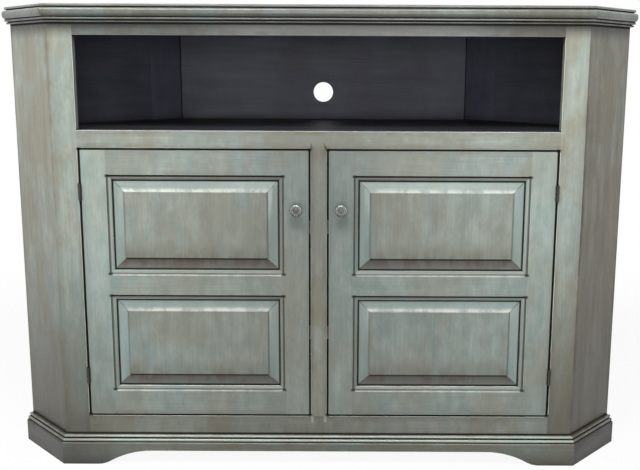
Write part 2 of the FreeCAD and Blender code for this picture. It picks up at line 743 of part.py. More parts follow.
def make_knob(side, door):
    # turned knob: rose, neck, rounded rim and a shallow dish in its middle
    name = f"{door}_door_knob"
    body = new_body(name)
    rim_back = "(knob_reach - knob_rim_height)"
    profile = [("knob_screw_radius + knob_screw_clearance", "0"), ("knob_rose_radius", "0"),
               ("knob_rose_radius", "-knob_rose_thickness / 2"),
               ("knob_neck_radius", "-2 * knob_rose_thickness"),
               ("knob_neck_radius", f"-{rim_back} + 2 * knob_rose_thickness"),
               ("knob_radius - knob_dish_depth", f"-{rim_back}", "knob_rim_height"),
               ("knob_radius", f"-{rim_back} - knob_rim_height / 3", "knob_rim_height"),
               ("knob_dish_radius + knob_dish_depth", "-knob_reach"),
               ("knob_dish_radius", "-knob_reach + knob_dish_depth"),
               ("0", "-knob_reach + knob_dish_depth"),
               ("0", "-knob_screw_bite - knob_screw_clearance"),
               ("knob_screw_radius + knob_screw_clearance", "-knob_screw_bite - knob_screw_clearance")]
    turned(body, name, profile)
    bind(body, Placement_of_Base_of_x=sided(side, "knob_place"), Placement_of_Base_of_y="face",
         Placement_of_Base_of_z="knob_height")
    keep(body, name)


def turned(body, name, profile):
    # a full turn about the Y axis
    sketch = draw(body, name + "_profile", "XY_Plane", [profile])
    feature = body.newObject("PartDesign::Revolution", "Revolution")
    feature.Profile = sketch
    feature.ReferenceAxis = (sketch, ["V_Axis"])
    feature.Angle = 360
    doc.recompute()


def make_knob_screw(side, door):
    name = f"{door}_door_knob_screw"
    body = new_body(name)
    profile = [("0", "-knob_screw_bite"), ("knob_screw_radius", "-knob_screw_bite"),
               ("knob_screw_radius", "door_thickness"), ("knob_screw_head_radius", "door_thickness"),
               ("knob_screw_head_radius", "door_thickness + knob_screw_head_height / 2"),
               ("knob_screw_radius", "door_thickness + knob_screw_head_height"),
               ("0", "door_thickness + knob_screw_head_height")]
    turned(body, name, profile)
    bind(body, Placement_of_Base_of_x=sided(side, "knob_place"), Placement_of_Base_of_y="face",
         Placement_of_Base_of_z="knob_height")
    keep(body, name)


def knob_hole(side):
    hole = doc.addObject("Part::Cylinder", "knob_hole")
    hole.Placement = Placement(Vector(), Rotation(Vector(0, 0, 1), Vector(0, 1, 0)))
    bind(hole, Radius="knob_screw_radius + knob_screw_clearance", Height="door_thickness + 2 * overrun",
         Placement_of_Base_of_x=sided(side, "knob_place"), Placement_of_Base_of_y="face - overrun",
         Placement_of_Base_of_z="knob_height")
    return hole


# screws: one profile, turned about its own axis at each place

catch_levels = ("upper_catch_level", "lower_catch_level")


def make_screw_profile():
    body = new_body("wood_screw_master")
    sketch = draw(body, "wood_screw_profile", "XY_Plane",
                  [[("0", "0"), ("screw_head_radius", "0"), ("screw_shank_radius", "screw_head_height"),
                    ("screw_shank_radius", "screw_length - screw_point"), ("0", "screw_length")]])
    return sketch


def wood_screw(across, back, level, heading):
    # the profile's own way is +Y
    screw = doc.addObject("Part::Revolution", "wood_screw")
    screw.Source = screw_profile
    screw.Axis = Vector(0, 1, 0)
    screw.Base = Vector(0, 0, 0)
    screw.Angle = 360
    screw.Solid = True
    screw.Placement = Placement(Vector(), Rotation(Vector(0, 1, 0), heading))
    bind(screw, Placement_of_Base_of_x=across, Placement_of_Base_of_y=back, Placement_of_Base_of_z=level)
    return screw


def hinge_screws(side, on_door):
    # two to a leaf, driven from the gap into the door's edge or the frame's edge
    if on_door:
        across, heading = "door_outer + leaf_thickness", Vector(-side, 0, 0)
    else:
        across, heading = "half_opening - leaf_thickness", Vector(side, 0, 0)
    screws = []
    for hinge in ("upper_hinge", "lower_hinge"):
        for way in ("-", "+"):
            screws.append(wood_screw(sided(side, across), "face + leaf_width / 2",
                                     f"{hinge} {way} hinge_screw_pitch / 2", heading))
    return screws


def make_catch_screws():
    # two to a housing, through its plate and into the partition
    screws = []
    back = "catch_face + catch_depth / 2"
    for side in (-1, 1):
        across = sided(side, "board / 2 + catch_plate")
        for level in catch_levels:
            for way in ("-", "+"):
                height = f"{level} {way} catch_screw_pitch / 2"
                screws.append(wood_screw(across, back, height, Vector(-side, 0, 0)))
    return screws


def strike_screws(side):
    # one to a strike, from behind the door
    across = sided(side, "catch_free_side - strike_width / 2")
    back = "face + door_thickness + strike_thickness"
    return [wood_screw(across, back, level, Vector(0, -1, 0)) for level in catch_levels]


# hinges

def knuckle(side, hinge, step, radius, height_formula=None, grow="0"):
    # one knuckle of three, counted from the hinge's lower end
    tube = doc.addObject("Part::Cylinder", "knuckle")
    foot = f"{hinge} - hinge_height / 2 + {step} * (knuckle_height + knuckle_gap) - {grow}"
    bind(tube, Radius=radius, Height=height_formula or f"knuckle_height + 2 * {grow}",
         Placement_of_Base_of_x=sided(side, "barrel_place"), Placement_of_Base_of_y="barrel_face",
         Placement_of_Base_of_z=foot)
    return tube


def hinge_leaf(side, hinge, on_door, screws):
    # a plate on the edge, with its own knuckles and notches round the other leaf's
    own, other = ((1,), (0, 2)) if on_door else ((0, 2), (1,))
    plate_side = "door_outer" if on_door else "half_opening - leaf_thickness"
    low_side = plate_side if side > 0 else f"({plate_side} + leaf_thickness)"
    plate = block("leaf_plate", (sided(side, low_side), "barrel_face", f"{hinge} - hinge_height / 2"),
                  ("leaf_thickness", "leaf_width + knuckle_radius", "hinge_height"))
    body = fused("leaf_body", [plate] + [knuckle(side, hinge, step, "knuckle_radius") for step in own])
    clear_radius = "knuckle_radius + leaf_notch"
    notches = [knuckle(side, hinge, step, clear_radius, grow="knuckle_gap") for step in other]
    bore = knuckle(side, hinge, 0, "pin_radius", "hinge_height")
    bored = cut("bored_leaf", body, fused("leaf_cuts", notches + [bore]))
    return cut("leaf", bored, screws)


def hinge_pin(side, hinge):
    stem = knuckle(side, hinge, 0, "pin_radius - pin_clearance", "hinge_height")
    heads = []
    for foot in (f"{hinge} - hinge_height / 2 - pin_head_height", f"{hinge} + hinge_height / 2"):
        head = doc.addObject("Part::Cylinder", "pin_head")
        bind(head, Radius="knuckle_radius", Height="pin_head_height",
             Placement_of_Base_of_x=sided(side, "barrel_place"), Placement_of_Base_of_y="barrel_face",
             Placement_of_Base_of_z=foot)
        heads.append(head)
    return fused("hinge_pin", [stem] + heads)


def make_frame_hinges():
    leaves = []
    pins = []
    for side in (-1, 1):
        for hinge in ("upper_hinge", "lower_hinge"):
            leaves.append(hinge_leaf(side, hinge, False, frame_leaf_screws))
            pins.append(hinge_pin(side, hinge))
    keep(group("frame_hinge_leaves", leaves), "frame_hinge_leaves")
    keep(group("hinge_pins", pins), "hinge_pins")


# catches

def catch_block(name, side, near, width, depth, level, height):
    # a box on one side of the partition, from the catch's face back
    low = near if side > 0 else f"({near} + {width})"
    return block(name, (sided(side, low), "catch_face", f"{level} - {height} / 2"), (width, depth, height))


def make_catches():
    housings = []
    magnets = []
    for side in (-1, 1):
        for level in catch_levels:
            magnet = catch_block("magnet", side, "catch_free_side - magnet_edge - magnet_width",
                                 "magnet_width", "magnet_depth", level, "magnet_height")
            plate = catch_block("catch_ears", side, "board / 2", "catch_plate", "catch_depth", level,
                                "catch_height")
            shell = catch_block("catch_shell", side, "board / 2", "catch_width", "catch_depth", level,
                                "catch_body_height")
            hollow = cut("hollow_housing", fused("catch_housing", [plate, shell]), magnet)
            magnets.append(magnet)
            housings.append(cut("drilled_housing", hollow, catch_screws))
    keep(group("catch_housings", housings), "catch_housings")
    keep(group("catch_magnets", magnets), "catch_magnets")


def make_strikes(side, door, screws):
    plates = []
    for level in catch_levels:
        near = "catch_free_side - strike_width"
        low = near if side > 0 else "catch_free_side"
        plate = block("strike", (sided(side, low), "face + door_thickness", f"{level} - strike_height / 2"),
                      ("strike_width", "strike_thickness", "strike_height"))
        plates.append(cut("drilled_strike", plate, screws))
    keep(group(f"{door}_door_strikes", plates), f"{door}_door_strikes")


def make_door(side, door):
    latch_blank = make_door_stile(side, door, "latch")
    hinge_blank = make_door_stile(side, door, "hinge")
    stiles = group(f"{door}_door_stile_pair", [latch_blank, hinge_blank])
    for kind in ("top", "middle", "bottom"):
        make_door_rail(side, door, kind, stiles)
    for kind in ("upper", "lower"):
        make_raised_panel(side, door, kind)
    screws = group(f"{door}_door_screws", hinge_screws(side, True) + strike_screws(side))
    keep(screws, f"{door}_door_screws")
    name = f"{door}_door_hinge_stile"
    keep(cut(name, hinge_blank, screws), name)
    name = f"{door}_door_latch_stile"
    keep(cut(name, latch_blank, group("latch_stile_holes", [knob_hole(side), screws])), name)
    leaves = [hinge_leaf(side, hinge, True, screws) for hinge in ("upper_hinge", "lower_hinge")]
    keep(group(f"{door}_door_hinge_leaves", leaves), f"{door}_door_hinge_leaves")
    make_knob(side, door)
    make_knob_screw(side, door)
    make_strikes(side, door, screws)


def make_glue_blocks():
    blocks = []
    extent = ("block_length", "block_side", "block_side")
    rows = (("front_block_place", "face + board"),
            ("rear_block_place", "face + carcass_depth - block_side"))
    for level in ("sill - board - block_side", "carcass_top - block_side"):
        for side in (-1, 1):
            for place, back in rows:
                corner = (f"{sided(side, place)} - block_length / 2", back, level)
                blocks.append(block("glue_block", corner, extent))
    keep(group("glue_blocks", blocks), "glue_blocks")


def check_document():
    doc.recompute()
    for thing in doc.Objects:
        if "Invalid" in thing.State or "Error" in thing.State:
            raise ValueError(f"{thing.Label} did not compute: {thing.State}")
    for name, thing in parts.items():
        if thing.Shape.isNull() or not thing.Shape.isValid():
            raise ValueError(f"{name} has no valid shape")


def export_parts():
    os.makedirs("parts", exist_ok=True)
    for name, thing in parts.items():
        thing.Shape.exportStep(f"parts/{name}.step")
        print(name, len(thing.Shape.Solids), round(thing.Shape.Volume))


fill_sheet()
screw_profile = make_screw_profile()
frame_leaf_screws = group("frame_leaf_screws", hinge_screws(-1, False) + hinge_screws(1, False))
catch_screws = group("catch_screws", make_catch_screws())
keep(group("frame_screws", [frame_leaf_screws, catch_screws]), "frame_screws")
make_top()
make_mouldings()
make_base_boards()
make_face_frame()
make_walls()
make_back_panel()
make_floors()
make_partition()
make_shelves()
make_glue_blocks()
make_frame_hinges()
make_catches()
make_door(-1, "left")
make_door(1, "right")
check_document()
export_parts()
print(len(parts), "pieces")
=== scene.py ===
import json
import math
import random

import bmesh
import bpy
from mathutils import Matrix, Vector
from mathutils.bvhtree import BVHTree


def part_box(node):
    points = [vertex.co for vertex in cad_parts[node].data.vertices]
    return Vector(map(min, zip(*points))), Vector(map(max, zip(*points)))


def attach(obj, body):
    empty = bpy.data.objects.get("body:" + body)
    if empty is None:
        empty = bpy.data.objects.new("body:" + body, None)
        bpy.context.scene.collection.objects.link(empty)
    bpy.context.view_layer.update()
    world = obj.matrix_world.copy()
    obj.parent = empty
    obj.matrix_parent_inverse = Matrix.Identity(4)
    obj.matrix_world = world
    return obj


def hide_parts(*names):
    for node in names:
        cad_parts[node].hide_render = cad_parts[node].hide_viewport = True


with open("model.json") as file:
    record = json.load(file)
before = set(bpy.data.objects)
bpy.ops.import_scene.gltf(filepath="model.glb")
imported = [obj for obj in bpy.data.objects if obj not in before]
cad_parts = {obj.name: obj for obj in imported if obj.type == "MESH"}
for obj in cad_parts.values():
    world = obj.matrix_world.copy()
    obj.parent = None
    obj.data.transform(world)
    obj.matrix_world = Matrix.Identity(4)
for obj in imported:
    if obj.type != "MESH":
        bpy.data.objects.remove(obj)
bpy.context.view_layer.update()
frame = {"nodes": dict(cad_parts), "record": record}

nodes = frame["nodes"]
bodyOf = {name: body for body, names in frame["record"]["behaviour"]["bodies"].items() for name in names}
boxes = {name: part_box(name) for name in nodes}
mm = 0.001
print("frame loaded:", len(nodes), "nodes")


def cornersOf(points):
    # the least and the greatest corner of the box round some points
    points = list(points)
    low = Vector([min(point[axis] for point in points) for axis in range(3)])
    high = Vector([max(point[axis] for point in points) for axis in range(3)])
    return low, high


def addObject(name, data):
    made = bpy.data.objects.new(name, data)
    bpy.context.scene.collection.objects.link(made)
    return made


# Camera: fitted to the corners of the case, the doors and the bay

cameraLook = {
    "place": (0.0512, -1.9902, 0.8915),
    "lens": 47.0,
    "sensorWidth": 36.0,
    "pitchDown": 0.1667,
    "yaw": -0.0011,
    "roll": 0.0047,
    "shift": (-0.0363, -0.0432),
}


def makeCamera():
    data = bpy.data.cameras.new("photoCamera")
    data.lens = cameraLook["lens"]
    data.sensor_width = cameraLook["sensorWidth"]
    data.shift_x, data.shift_y = cameraLook["shift"]
    camera = addObject("photoCamera", data)
    camera.location = cameraLook["place"]
    upright = math.pi / 2 - cameraLook["pitchDown"]
    tilted = Matrix.Rotation(upright, 3, "X") @ Matrix.Rotation(cameraLook["roll"], 3, "Z")
    camera.rotation_euler = (Matrix.Rotation(cameraLook["yaw"], 3, "Z") @ tilted).to_euler()
    bpy.context.scene.camera = camera


makeCamera()
print("camera placed")


# Node helpers, used by every material and geometry tree below: each takes sockets or plain values

def colour(red, green, blue):
    # a colour as it is seen on a screen, 0 to 255, made linear
    def linear(value):
        value = value / 255
        return value / 12.92 if value <= 0.04045 else ((value + 0.055) / 1.055) ** 2.4
    return (linear(red), linear(green), linear(blue), 1.0)


def scaled(tone, value):
    return (value[0] * tone, value[1] * tone, value[2] * tone, 1.0)


def feed(socket, value):
    # a value is another node's socket, or a plain number, vector or colour
    if isinstance(value, bpy.types.NodeSocket):
        socket.id_data.links.new(value, socket)
    else:
        socket.default_value = value


def feedAll(node, inputs):
    for name, value in inputs.items():
        feed(node.inputs[name], value)


def addNode(tree, kind, inputs=None, **settings):
    made = tree.nodes.new(kind)
    for name, value in settings.items():
        setattr(made, name, value)
    feedAll(made, inputs or {})
    return made


def treeOf(*values):
    return next(value.id_data for value in values if isinstance(value, bpy.types.NodeSocket))


def calc(operation, first, second=0.0, clamp=False):
    tree = treeOf(first, second)
    made = addNode(tree, "ShaderNodeMath", {0: first, 1: second}, operation=operation, use_clamp=clamp)
    return made.outputs[0]


def joining(operation):
    # a function that joins two or more values by one operation
    def join(first, *others):
        for other in others:
            first = calc(operation, first, other)
        return first
    return join


times, plus, minus = joining("MULTIPLY"), joining("ADD"), joining("SUBTRACT")
largest, least = joining("MAXIMUM"), joining("MINIMUM")
isOver, isUnder = joining("GREATER_THAN"), joining("LESS_THAN")


def restOf(value):
    return minus(1.0, value)


def absolute(value):
    return calc("ABSOLUTE", value)


def vectorCalc(operation, first, second=(0.0, 0.0, 0.0)):
    made = addNode(first.id_data, "ShaderNodeVectorMath", {0: first, 1: second}, operation=operation)
    return made.outputs[0]


def split(vector):
    return addNode(vector.id_data, "ShaderNodeSeparateXYZ", {0: vector}).outputs


def joined(tree, values):
    return addNode(tree, "ShaderNodeCombineXYZ", dict(enumerate(values))).outputs[0]


def ramp(value, low, high, start=0.0, end=1.0, kind="SMOOTHSTEP"):
    # a smooth step from start to end as value goes from low to high
    inputs = {"Value": value, "From Min": low, "From Max": high, "To Min": start, "To Max": end}
    return addNode(value.id_data, "ShaderNodeMapRange", inputs, interpolation_type=kind).outputs["Result"]


def blend(share, first, second, kind="MIX"):
    tree = treeOf(share, first)
    made = addNode(tree, "ShaderNodeMix", data_type="RGBA", blend_type=kind)
    feedAll(made, {0: share, 6: first, 7: second})
    return made.outputs[2]


def layered(tint, *coats):
    # each coat is how much of it there is, and its colour
    for share, coat in coats:
        tint = blend(share, tint, coat)
    return tint


def noiseOf(place, detail, roughness, scale=1.0):
    inputs = {"Vector": place, "Scale": scale, "Detail": detail, "Roughness": roughness}
    return addNode(place.id_data, "ShaderNodeTexNoise", inputs).outputs[0]


def newGroup(name, inputs, outputs, treeKind="ShaderNodeTree", outputKind="Float"):
    # the inputs come with their kinds, and the outputs all have one kind
    group = bpy.data.node_groups.new(name, treeKind)
    for socketName, kind in inputs.items():
        group.interface.new_socket(name=socketName, in_out="INPUT", socket_type="NodeSocket" + kind)
    for socketName in outputs:
        group.interface.new_socket(name=socketName, in_out="OUTPUT", socket_type="NodeSocket" + outputKind)
    return group, addNode(group, "NodeGroupInput").outputs, addNode(group, "NodeGroupOutput").inputs


def groupOf(tree, group, inputs):
    return addNode(tree, "ShaderNodeGroup", inputs, node_tree=group).outputs


def newMaterial(name):
    material = bpy.data.materials.new(name)
    material.use_nodes = True
    tree = material.node_tree
    return material, tree, tree.nodes["Principled BSDF"]


def attributeOf(tree, name):
    return addNode(tree, "ShaderNodeAttribute", attribute_name=name).outputs["Fac"]


def objectPlace(tree):
    return addNode(tree, "ShaderNodeTexCoord").outputs["Object"]


def addBump(shader, height, distance):
    bump = addNode(height.id_data, "ShaderNodeBump", {"Strength": 1.0, "Distance": distance, "Height": height})
    feed(shader.inputs["Normal"], bump.outputs["Normal"])


# Shader groups: effects that more than one finish uses

# for each mark: its stretch on three axes, detail, roughness, and where it starts and is full
markLook = {
    "Fine": ((9.0, 560.0, 560.0), 4.0, 0.7, 0.30, 0.70),
    "Broad": ((2.6, 30.0, 30.0), 5.0, 0.62, 0.30, 0.72),
    "Patch": ((5.0, 5.0, 3.6), 4.0, 0.6, 0.34, 0.66),
    "Mottle": ((30.0, 30.0, 15.0), 4.0, 0.62, 0.34, 0.66),
    "Blush": ((9.5, 9.5, 4.6), 5.0, 0.70, 0.42, 0.62),
}
seedShift = (7.3, 3.1, 11.7)            # how far one step of the seed moves the grain
cloudShift = (1.7, 3.1, 0.9)            # how far apart the three clouds are taken


def markOf(name, place):
    stretch, detail, rough, low, high = markLook[name]
    return ramp(noiseOf(vectorCalc("MULTIPLY", place, stretch), detail, rough), low, high)


def makeGrainGroup():
    # marks that run along a board: fine brush lines and broad streaks, 0 to 1
    group, source, result = newGroup("boardGrain", {"Place": "Vector", "Seed": "Float"}, ("Fine", "Broad"))
    shift = joined(group, [times(source["Seed"], factor) for factor in seedShift])
    place = vectorCalc("ADD", source["Place"], shift)
    for name in ("Fine", "Broad"):
        feed(result[name], markOf(name, place))
    return group


def makeCloudGroup():
    # soft marks that pass over joints as paint and glaze do: slow patches, small clouds and brown blushes
    clouds = ("Patch", "Mottle", "Blush")
    group, source, result = newGroup("paintClouds", {"Place": "Vector"}, clouds)
    for index, name in enumerate(clouds):
        shift = (cloudShift[0] * index, cloudShift[1], cloudShift[2] * index)
        feed(result[name], markOf(name, vectorCalc("ADD", source["Place"], shift)))
    return group


# for each mask: how far its shade reaches, whether into the solid, and where it starts and is full; the paint,
# slate and softwood below darken the crease and hollow masks as painted shade, partly with glaze, and the metals
# keep patina there
shapeLook = {
    "ShadedCrease": (5.0 * mm, False, 0.12, 0.38),
    "ShadedHollow": (40.0 * mm, False, 0.10, 0.70),
    "Arris": (2.8 * mm, True, 0.16, 0.50),
}

# along which axis a board's ends and its sides count, and how far
endReach = {"End": (0, 55 * mm), "Side": (2, 16 * mm)}


def makeEdgeGroup():
    # masks that follow the shape: tight creases and wide hollows where shade falls, outer arrises and the ends of
    # a board
    kinds = {"Place": "Vector", "Half Size": "Vector"}
    group, source, result = newGroup("shapeMasks", kinds, (*shapeLook, *endReach))
    for name, (reach, inside, low, high) in shapeLook.items():
        shade = addNode(group, "ShaderNodeAmbientOcclusion", {"Distance": reach}, samples=8, inside=inside)
        feed(result[name], ramp(restOf(shade.outputs["AO"]), low, high))
    left = split(vectorCalc("SUBTRACT", source["Half Size"], vectorCalc("ABSOLUTE", source["Place"])))
    for name, (axis, reach) in endReach.items():
        feed(result[name], ramp(left[axis], 0.0, reach, 1.0, 0.0))
    return group


# each distance or share goes with how strong the mask is at both of its ends
speckLook = {
    "cells": 21.0,                      # to a metre
    "chosen": 0.62,                     # cells over this share have a fleck
    "fleck": (0.016, 0.034, 1.0, 0.0),
    "upwards": (0.75, 1.0),             # dust lies where the normal looks up this far
    "dust": (3.0, 0.6, 60.0),           # the detail, roughness and scale of its noise
    "dustShare": (0.4, 0.7),
}


def makeSpeckGroup():
    # a few dark flecks thrown on by the brush, and pale dust where a face looks up
    group, source, result = newGroup("specksAndDust", {"Place": "Vector"}, ("Speck", "Dust"))
    place, look = source["Place"], speckLook
    inputs = {"Vector": place, "Scale": look["cells"]}
    cells = addNode(group, "ShaderNodeTexVoronoi", inputs, feature="F1").outputs
    pick = addNode(group, "ShaderNodeSeparateColor", {0: cells["Color"]}).outputs[0]
    feed(result["Speck"], times(ramp(cells["Distance"], *look["fleck"]), isOver(pick, look["chosen"])))
    up = split(addNode(group, "ShaderNodeNewGeometry").outputs["Normal"])[2]
    cloud = ramp(noiseOf(place, *look["dust"]), *look["dustShare"])
    feed(result["Dust"], times(ramp(up, *look["upwards"]), cloud))
    return group


# each distance is from one value to another, with how strong the mask is at both
panelLook = {
    "groove": (2.4 * mm, 5.0 * mm, 1.0, 0.0),
    "edge": (1.0 * mm, 3.2 * mm),       # the line round the field fades between these
    # the line round the field is glaze, painted near full at its foot and weaker at its sides as painted shade,
    # and left off at its top
    "edgeFoot": 0.95,
    "edgeSide": 0.40,
    "FootShade": -1.5,                       # where the masks of the lower bevel's painted shade and the upper bevel's painted highlight start, of their width
    "CrownHighlight": 0.60,
    "mitre": (0.0, 3.5 * mm, 1.0, 0.0),
    "mitreFade": (18 * mm, 36 * mm, 1.0, 0.35),
    "pool": (0.0, 45 * mm, 1.0, 0.0),
}


def makePanelGroup():
    # glaze on a raised panel in its groove and round the field, umber glaze and painted shade over the lower
    # bevel, and a painted highlight on the upper one
    kinds = {"Place": "Vector", "Half Size": "Vector", "Hidden Edge": "Float", "Bevel": "Float"}
    masks = ("Groove", "Field", "Slope", "FootShade", "CrownHighlight", "Pool", "Mitre")
    group, source, result = newGroup("panelLines", kinds, masks)
    place, half = split(source["Place"]), split(source["Half Size"])
    hidden, look = source["Hidden Edge"], panelLook
    top, foot = minus(half[0], place[0]), plus(half[0], place[0])
    side = minus(half[2], absolute(place[2]))
    field = plus(hidden, source["Bevel"])
    endOf = least(top, foot)
    nearest = least(endOf, side)
    groove = minus(nearest, hidden)
    along = calc("DIVIDE", groove, source["Bevel"])

    def line(distance, strength, *others):
        mask = ramp(absolute(minus(distance, field)), *look["edge"], strength, 0.0)
        return times(mask, *[isOver(other, field) for other in others])

    feed(result["Groove"], ramp(groove, *look["groove"]))
    # the field's line: glaze, with painted shade at its foot
    feed(result["Field"], largest(line(foot, look["edgeFoot"], side), line(side, look["edgeSide"], foot, top)))
    feed(result["Slope"], isUnder(along, 1.0))
    for name, distance in (("FootShade", foot), ("CrownHighlight", top)):
        mask = ramp(along, look[name], 1.0)
        feed(result[name], times(mask, isUnder(distance, field), isUnder(distance, side)))
    mitre = ramp(absolute(minus(endOf, side)), *look["mitre"])
    fade = ramp(largest(endOf, side), *look["mitreFade"])
    feed(result["Mitre"], times(mitre, isUnder(endOf, field), fade))
    feed(result["Pool"], times(ramp(minus(foot, field), *look["pool"]), isOver(nearest, field)))
    return group


# distances from the edge of the opening, in the same way
openingLook = {
    "line": (0.35, 0.65, 1.0, 0.0),     # of the line's width
    "cornerAcross": (2.5 * mm, 7.0 * mm, 0.9, 0.0),
    "cornerUp": (1.8 * mm, 4.5 * mm, 1.0, 0.0),
    # where the painted glint under the opening's foot starts and ends
    "paintedGlintFrom": (-0.2 * mm, 0.6 * mm),
    "paintedGlintTo": (3.0 * mm, 4.4 * mm, 1.0, 0.0),
}


def makeOpeningGroup():
    # the line of glaze round an upright opening, with dark corners, and a painted glint under its foot
    kinds = {name: "Vector" for name in ("Place", "Middle", "Half Size")}
    kinds.update({name: "Float" for name in ("Width", "Top", "Elsewhere", "Bottom")})
    group, source, result = newGroup("openingLine", kinds, ("Line", "PaintedGlint"))
    look, elsewhere = openingLook, source["Elsewhere"]
    shift = vectorCalc("SUBTRACT", source["Place"], source["Middle"])
    past = split(vectorCalc("SUBTRACT", vectorCalc("ABSOLUTE", shift), source["Half Size"]))
    across, up, height = past[0], past[2], split(shift)[2]
    line = ramp(calc("DIVIDE", absolute(largest(across, up)), source["Width"]), *look["line"])
    upright = isOver(up, across)
    upper, lower = times(upright, isOver(height, 0.0)), times(upright, isUnder(height, 0.0))
    # the line is stronger above or below the opening, which over a sticking paints the shadow under its step
    extra = plus(times(upper, minus(source["Top"], elsewhere)), times(lower, minus(source["Bottom"], elsewhere)))
    corner = times(ramp(absolute(across), *look["cornerAcross"]), ramp(absolute(up), *look["cornerUp"]))
    feed(result["Line"], largest(times(line, plus(extra, elsewhere)), corner))
    # the painted glint: a pale strip under the foot of the opening
    paintedGlint = times(ramp(up, *look["paintedGlintFrom"]), ramp(up, *look["paintedGlintTo"]))
    feed(result["PaintedGlint"], times(paintedGlint, lower, restOf(corner)))
    return group


grainGroup = makeGrainGroup()
cloudGroup = makeCloudGroup()
openingGroup = makeOpeningGroup()
edgeGroup = makeEdgeGroup()
speckGroup = makeSpeckGroup()
panelGroup = makePanelGroup()
print("shader groups made")


# Boards: which way each one's grain runs, and the turn of the two wings

wingTurn = math.radians(45)
standing = Matrix.Rotation(math.pi / 2, 3, "Y")     # grain upright, thickness along Y
level = Matrix.Identity(3)                          # grain along X, thickness along Y
lying = Matrix.Rotation(math.pi / 2, 3, "X")        # grain along X, thickness along Z
endOn = standing @ Matrix.Rotation(math.pi / 2, 3, "Z")     # grain upright, thickness along X


def turned(board, side):
    # a board of the left wing (side -1) or the right wing (side 1), swung back into line with the front
    return board @ Matrix.Rotation(-side * wingTurn, 3, "Z")


def startBoard(kind, name, board, seed):
    # what the finish of every board begins with: its own coordinates (X along the grain, Y through it,
    # Z across it) with half its size, and the grain and the masks of its shape there
    material, tree, shader = newMaterial(kind + name)
    low, high = cornersOf(board @ vertex.co for vertex in nodes[name].data.vertices)
    inputs = {"Vector": objectPlace(tree), "Rotation": board.to_euler(), "Location": -(low + high) / 2}
    place = addNode(tree, "ShaderNodeMapping", inputs).outputs["Vector"]
    onBoard = {"Place": place, "Half Size": (high - low) / 2}
    grain = groupOf(tree, grainGroup, {"Place": place, "Seed": seed})
    return material, shader, onBoard, grain, groupOf(tree, edgeGroup, onBoard)


# Sage paint, rubbed with umber glaze under satin lacquer

paintLook = {
    "paint": colour(159, 166, 155),
    "coolPaint": colour(144, 166, 163),
    "warm": colour(143, 139, 120),
    "glaze": colour(88, 80, 60),
    "umber": colour(92, 72, 54),
    # near black of the glaze lines, of the painted shade in creases and gaps, and of the flecks
    "line": colour(10, 8, 7),
    # the pale of rubbed paint and dust, also the colour of the painted highlights
    "paleAndHighlight": colour(212, 218, 208),
    "coolClouds": 0.7,                  # how much of each mark there is
    "rubbedClouds": 0.34,
    "brushLines": 0.24,
    "hollowShade": 0.75,
    "dust": 0.08,
    "flecks": 0.6,
    # these have a least share, and another that counts by how much glaze the piece kept
    "marks": {"blush": (0.25, 1.0), "streaks": (0.05, 0.45), "sides": (0.22, 0.45), "ends": (0.0, 0.32)},
    "browned": 0.7,                     # a piece that kept more than this is browner all over
    "arrisWearAndSheenShare": (0.0, 1.0, 0.35, 0.85),
    # how the painted glint follows the clouds, and its tone
    "paintedGlintShare": (0.0, 1.0, 0.55, 1.0),
    "paintedGlintTone": 1.1,
    "lowTone": 0.5,
    "lacquer": 0.5,
    "lacquerRoughness": 0.15,
    "lacquerLost": 0.4,                 # where glaze was left
    "roughness": (0.32, 0.54),
    "creaseRoughness": 0.9,
    "bump": 0.14 * mm,
    "darkens": (0.06, 0.62),            # darker downwards between these heights: glaze, and painted shade of the light falling off
}

# coats on a raised panel, in their order: how each follows the small clouds, and its colour
panelCoats = {
    "Pool": ((0.0, 1.0, 0.15, 0.60), paintLook["glaze"]),
    "Slope": ((0.0, 1.0, 0.45, 0.45), scaled(1.34, paintLook["coolPaint"])),
    # umber glaze and painted shade over the lower bevel
    "FootShade": ((0.0, 1.0, 0.80, 0.97), scaled(0.64, paintLook["umber"])),
    "Mitre": ((0.0, 1.0, 0.60, 0.60), scaled(0.60, paintLook["umber"])),
    # a painted highlight on the upper bevel, by the field
    "CrownHighlight": ((0.1, 0.8, 0.25, 1.0), scaled(1.15, paintLook["paleAndHighlight"])),
}

# what the door frame hides of a panel's edge, and how far its hollow bevel runs
panelSizes = {"Hidden Edge": 8 * mm, "Bevel": 26 * mm}

# how far outside the box the line of glaze lies, and its width and strength; the sticking's line is strongest at
# its top as painted shadow under the step, and the door's line is glaze and painted shade in the gap
stickingLine = (0.4 * mm, {"Width": 4.4 * mm, "Top": 1.0, "Elsewhere": 0.72, "Bottom": 0.55})
doorLine = (1.2 * mm, {"Width": 4.2 * mm, "Top": 1.0, "Elsewhere": 1.0, "Bottom": 1.0})
ledgeLine = (3.0 * mm, 5.5 * mm, 0.9)   # glaze and painted shade over the base moulding, and a little less under the top one

# the paint's tone over the whole stand, each from one place to another and how strong it is at both
sweepLook = {
    "across": (0.03, 0.52, 0.80, 1.14),         # pale outer boards
    "shadowUnderTop": (0.944, 0.976, 1.0, 0.30),      # painted shadow under the top
    "dullUp": (0.40, 0.62, 0.0, 0.20),          # a duller middle between the doors' upper halves
    "dullAcross": (0.03, 0.20, 1.0, 0.0),
    "footUp": (0.06, 0.15, 0.38, 0.0),          # the left foot
    "footAcross": (-0.54, -0.40, 1.0, 0.0),
    "floor": (0.0, 0.078, 0.45, 1.0),
}

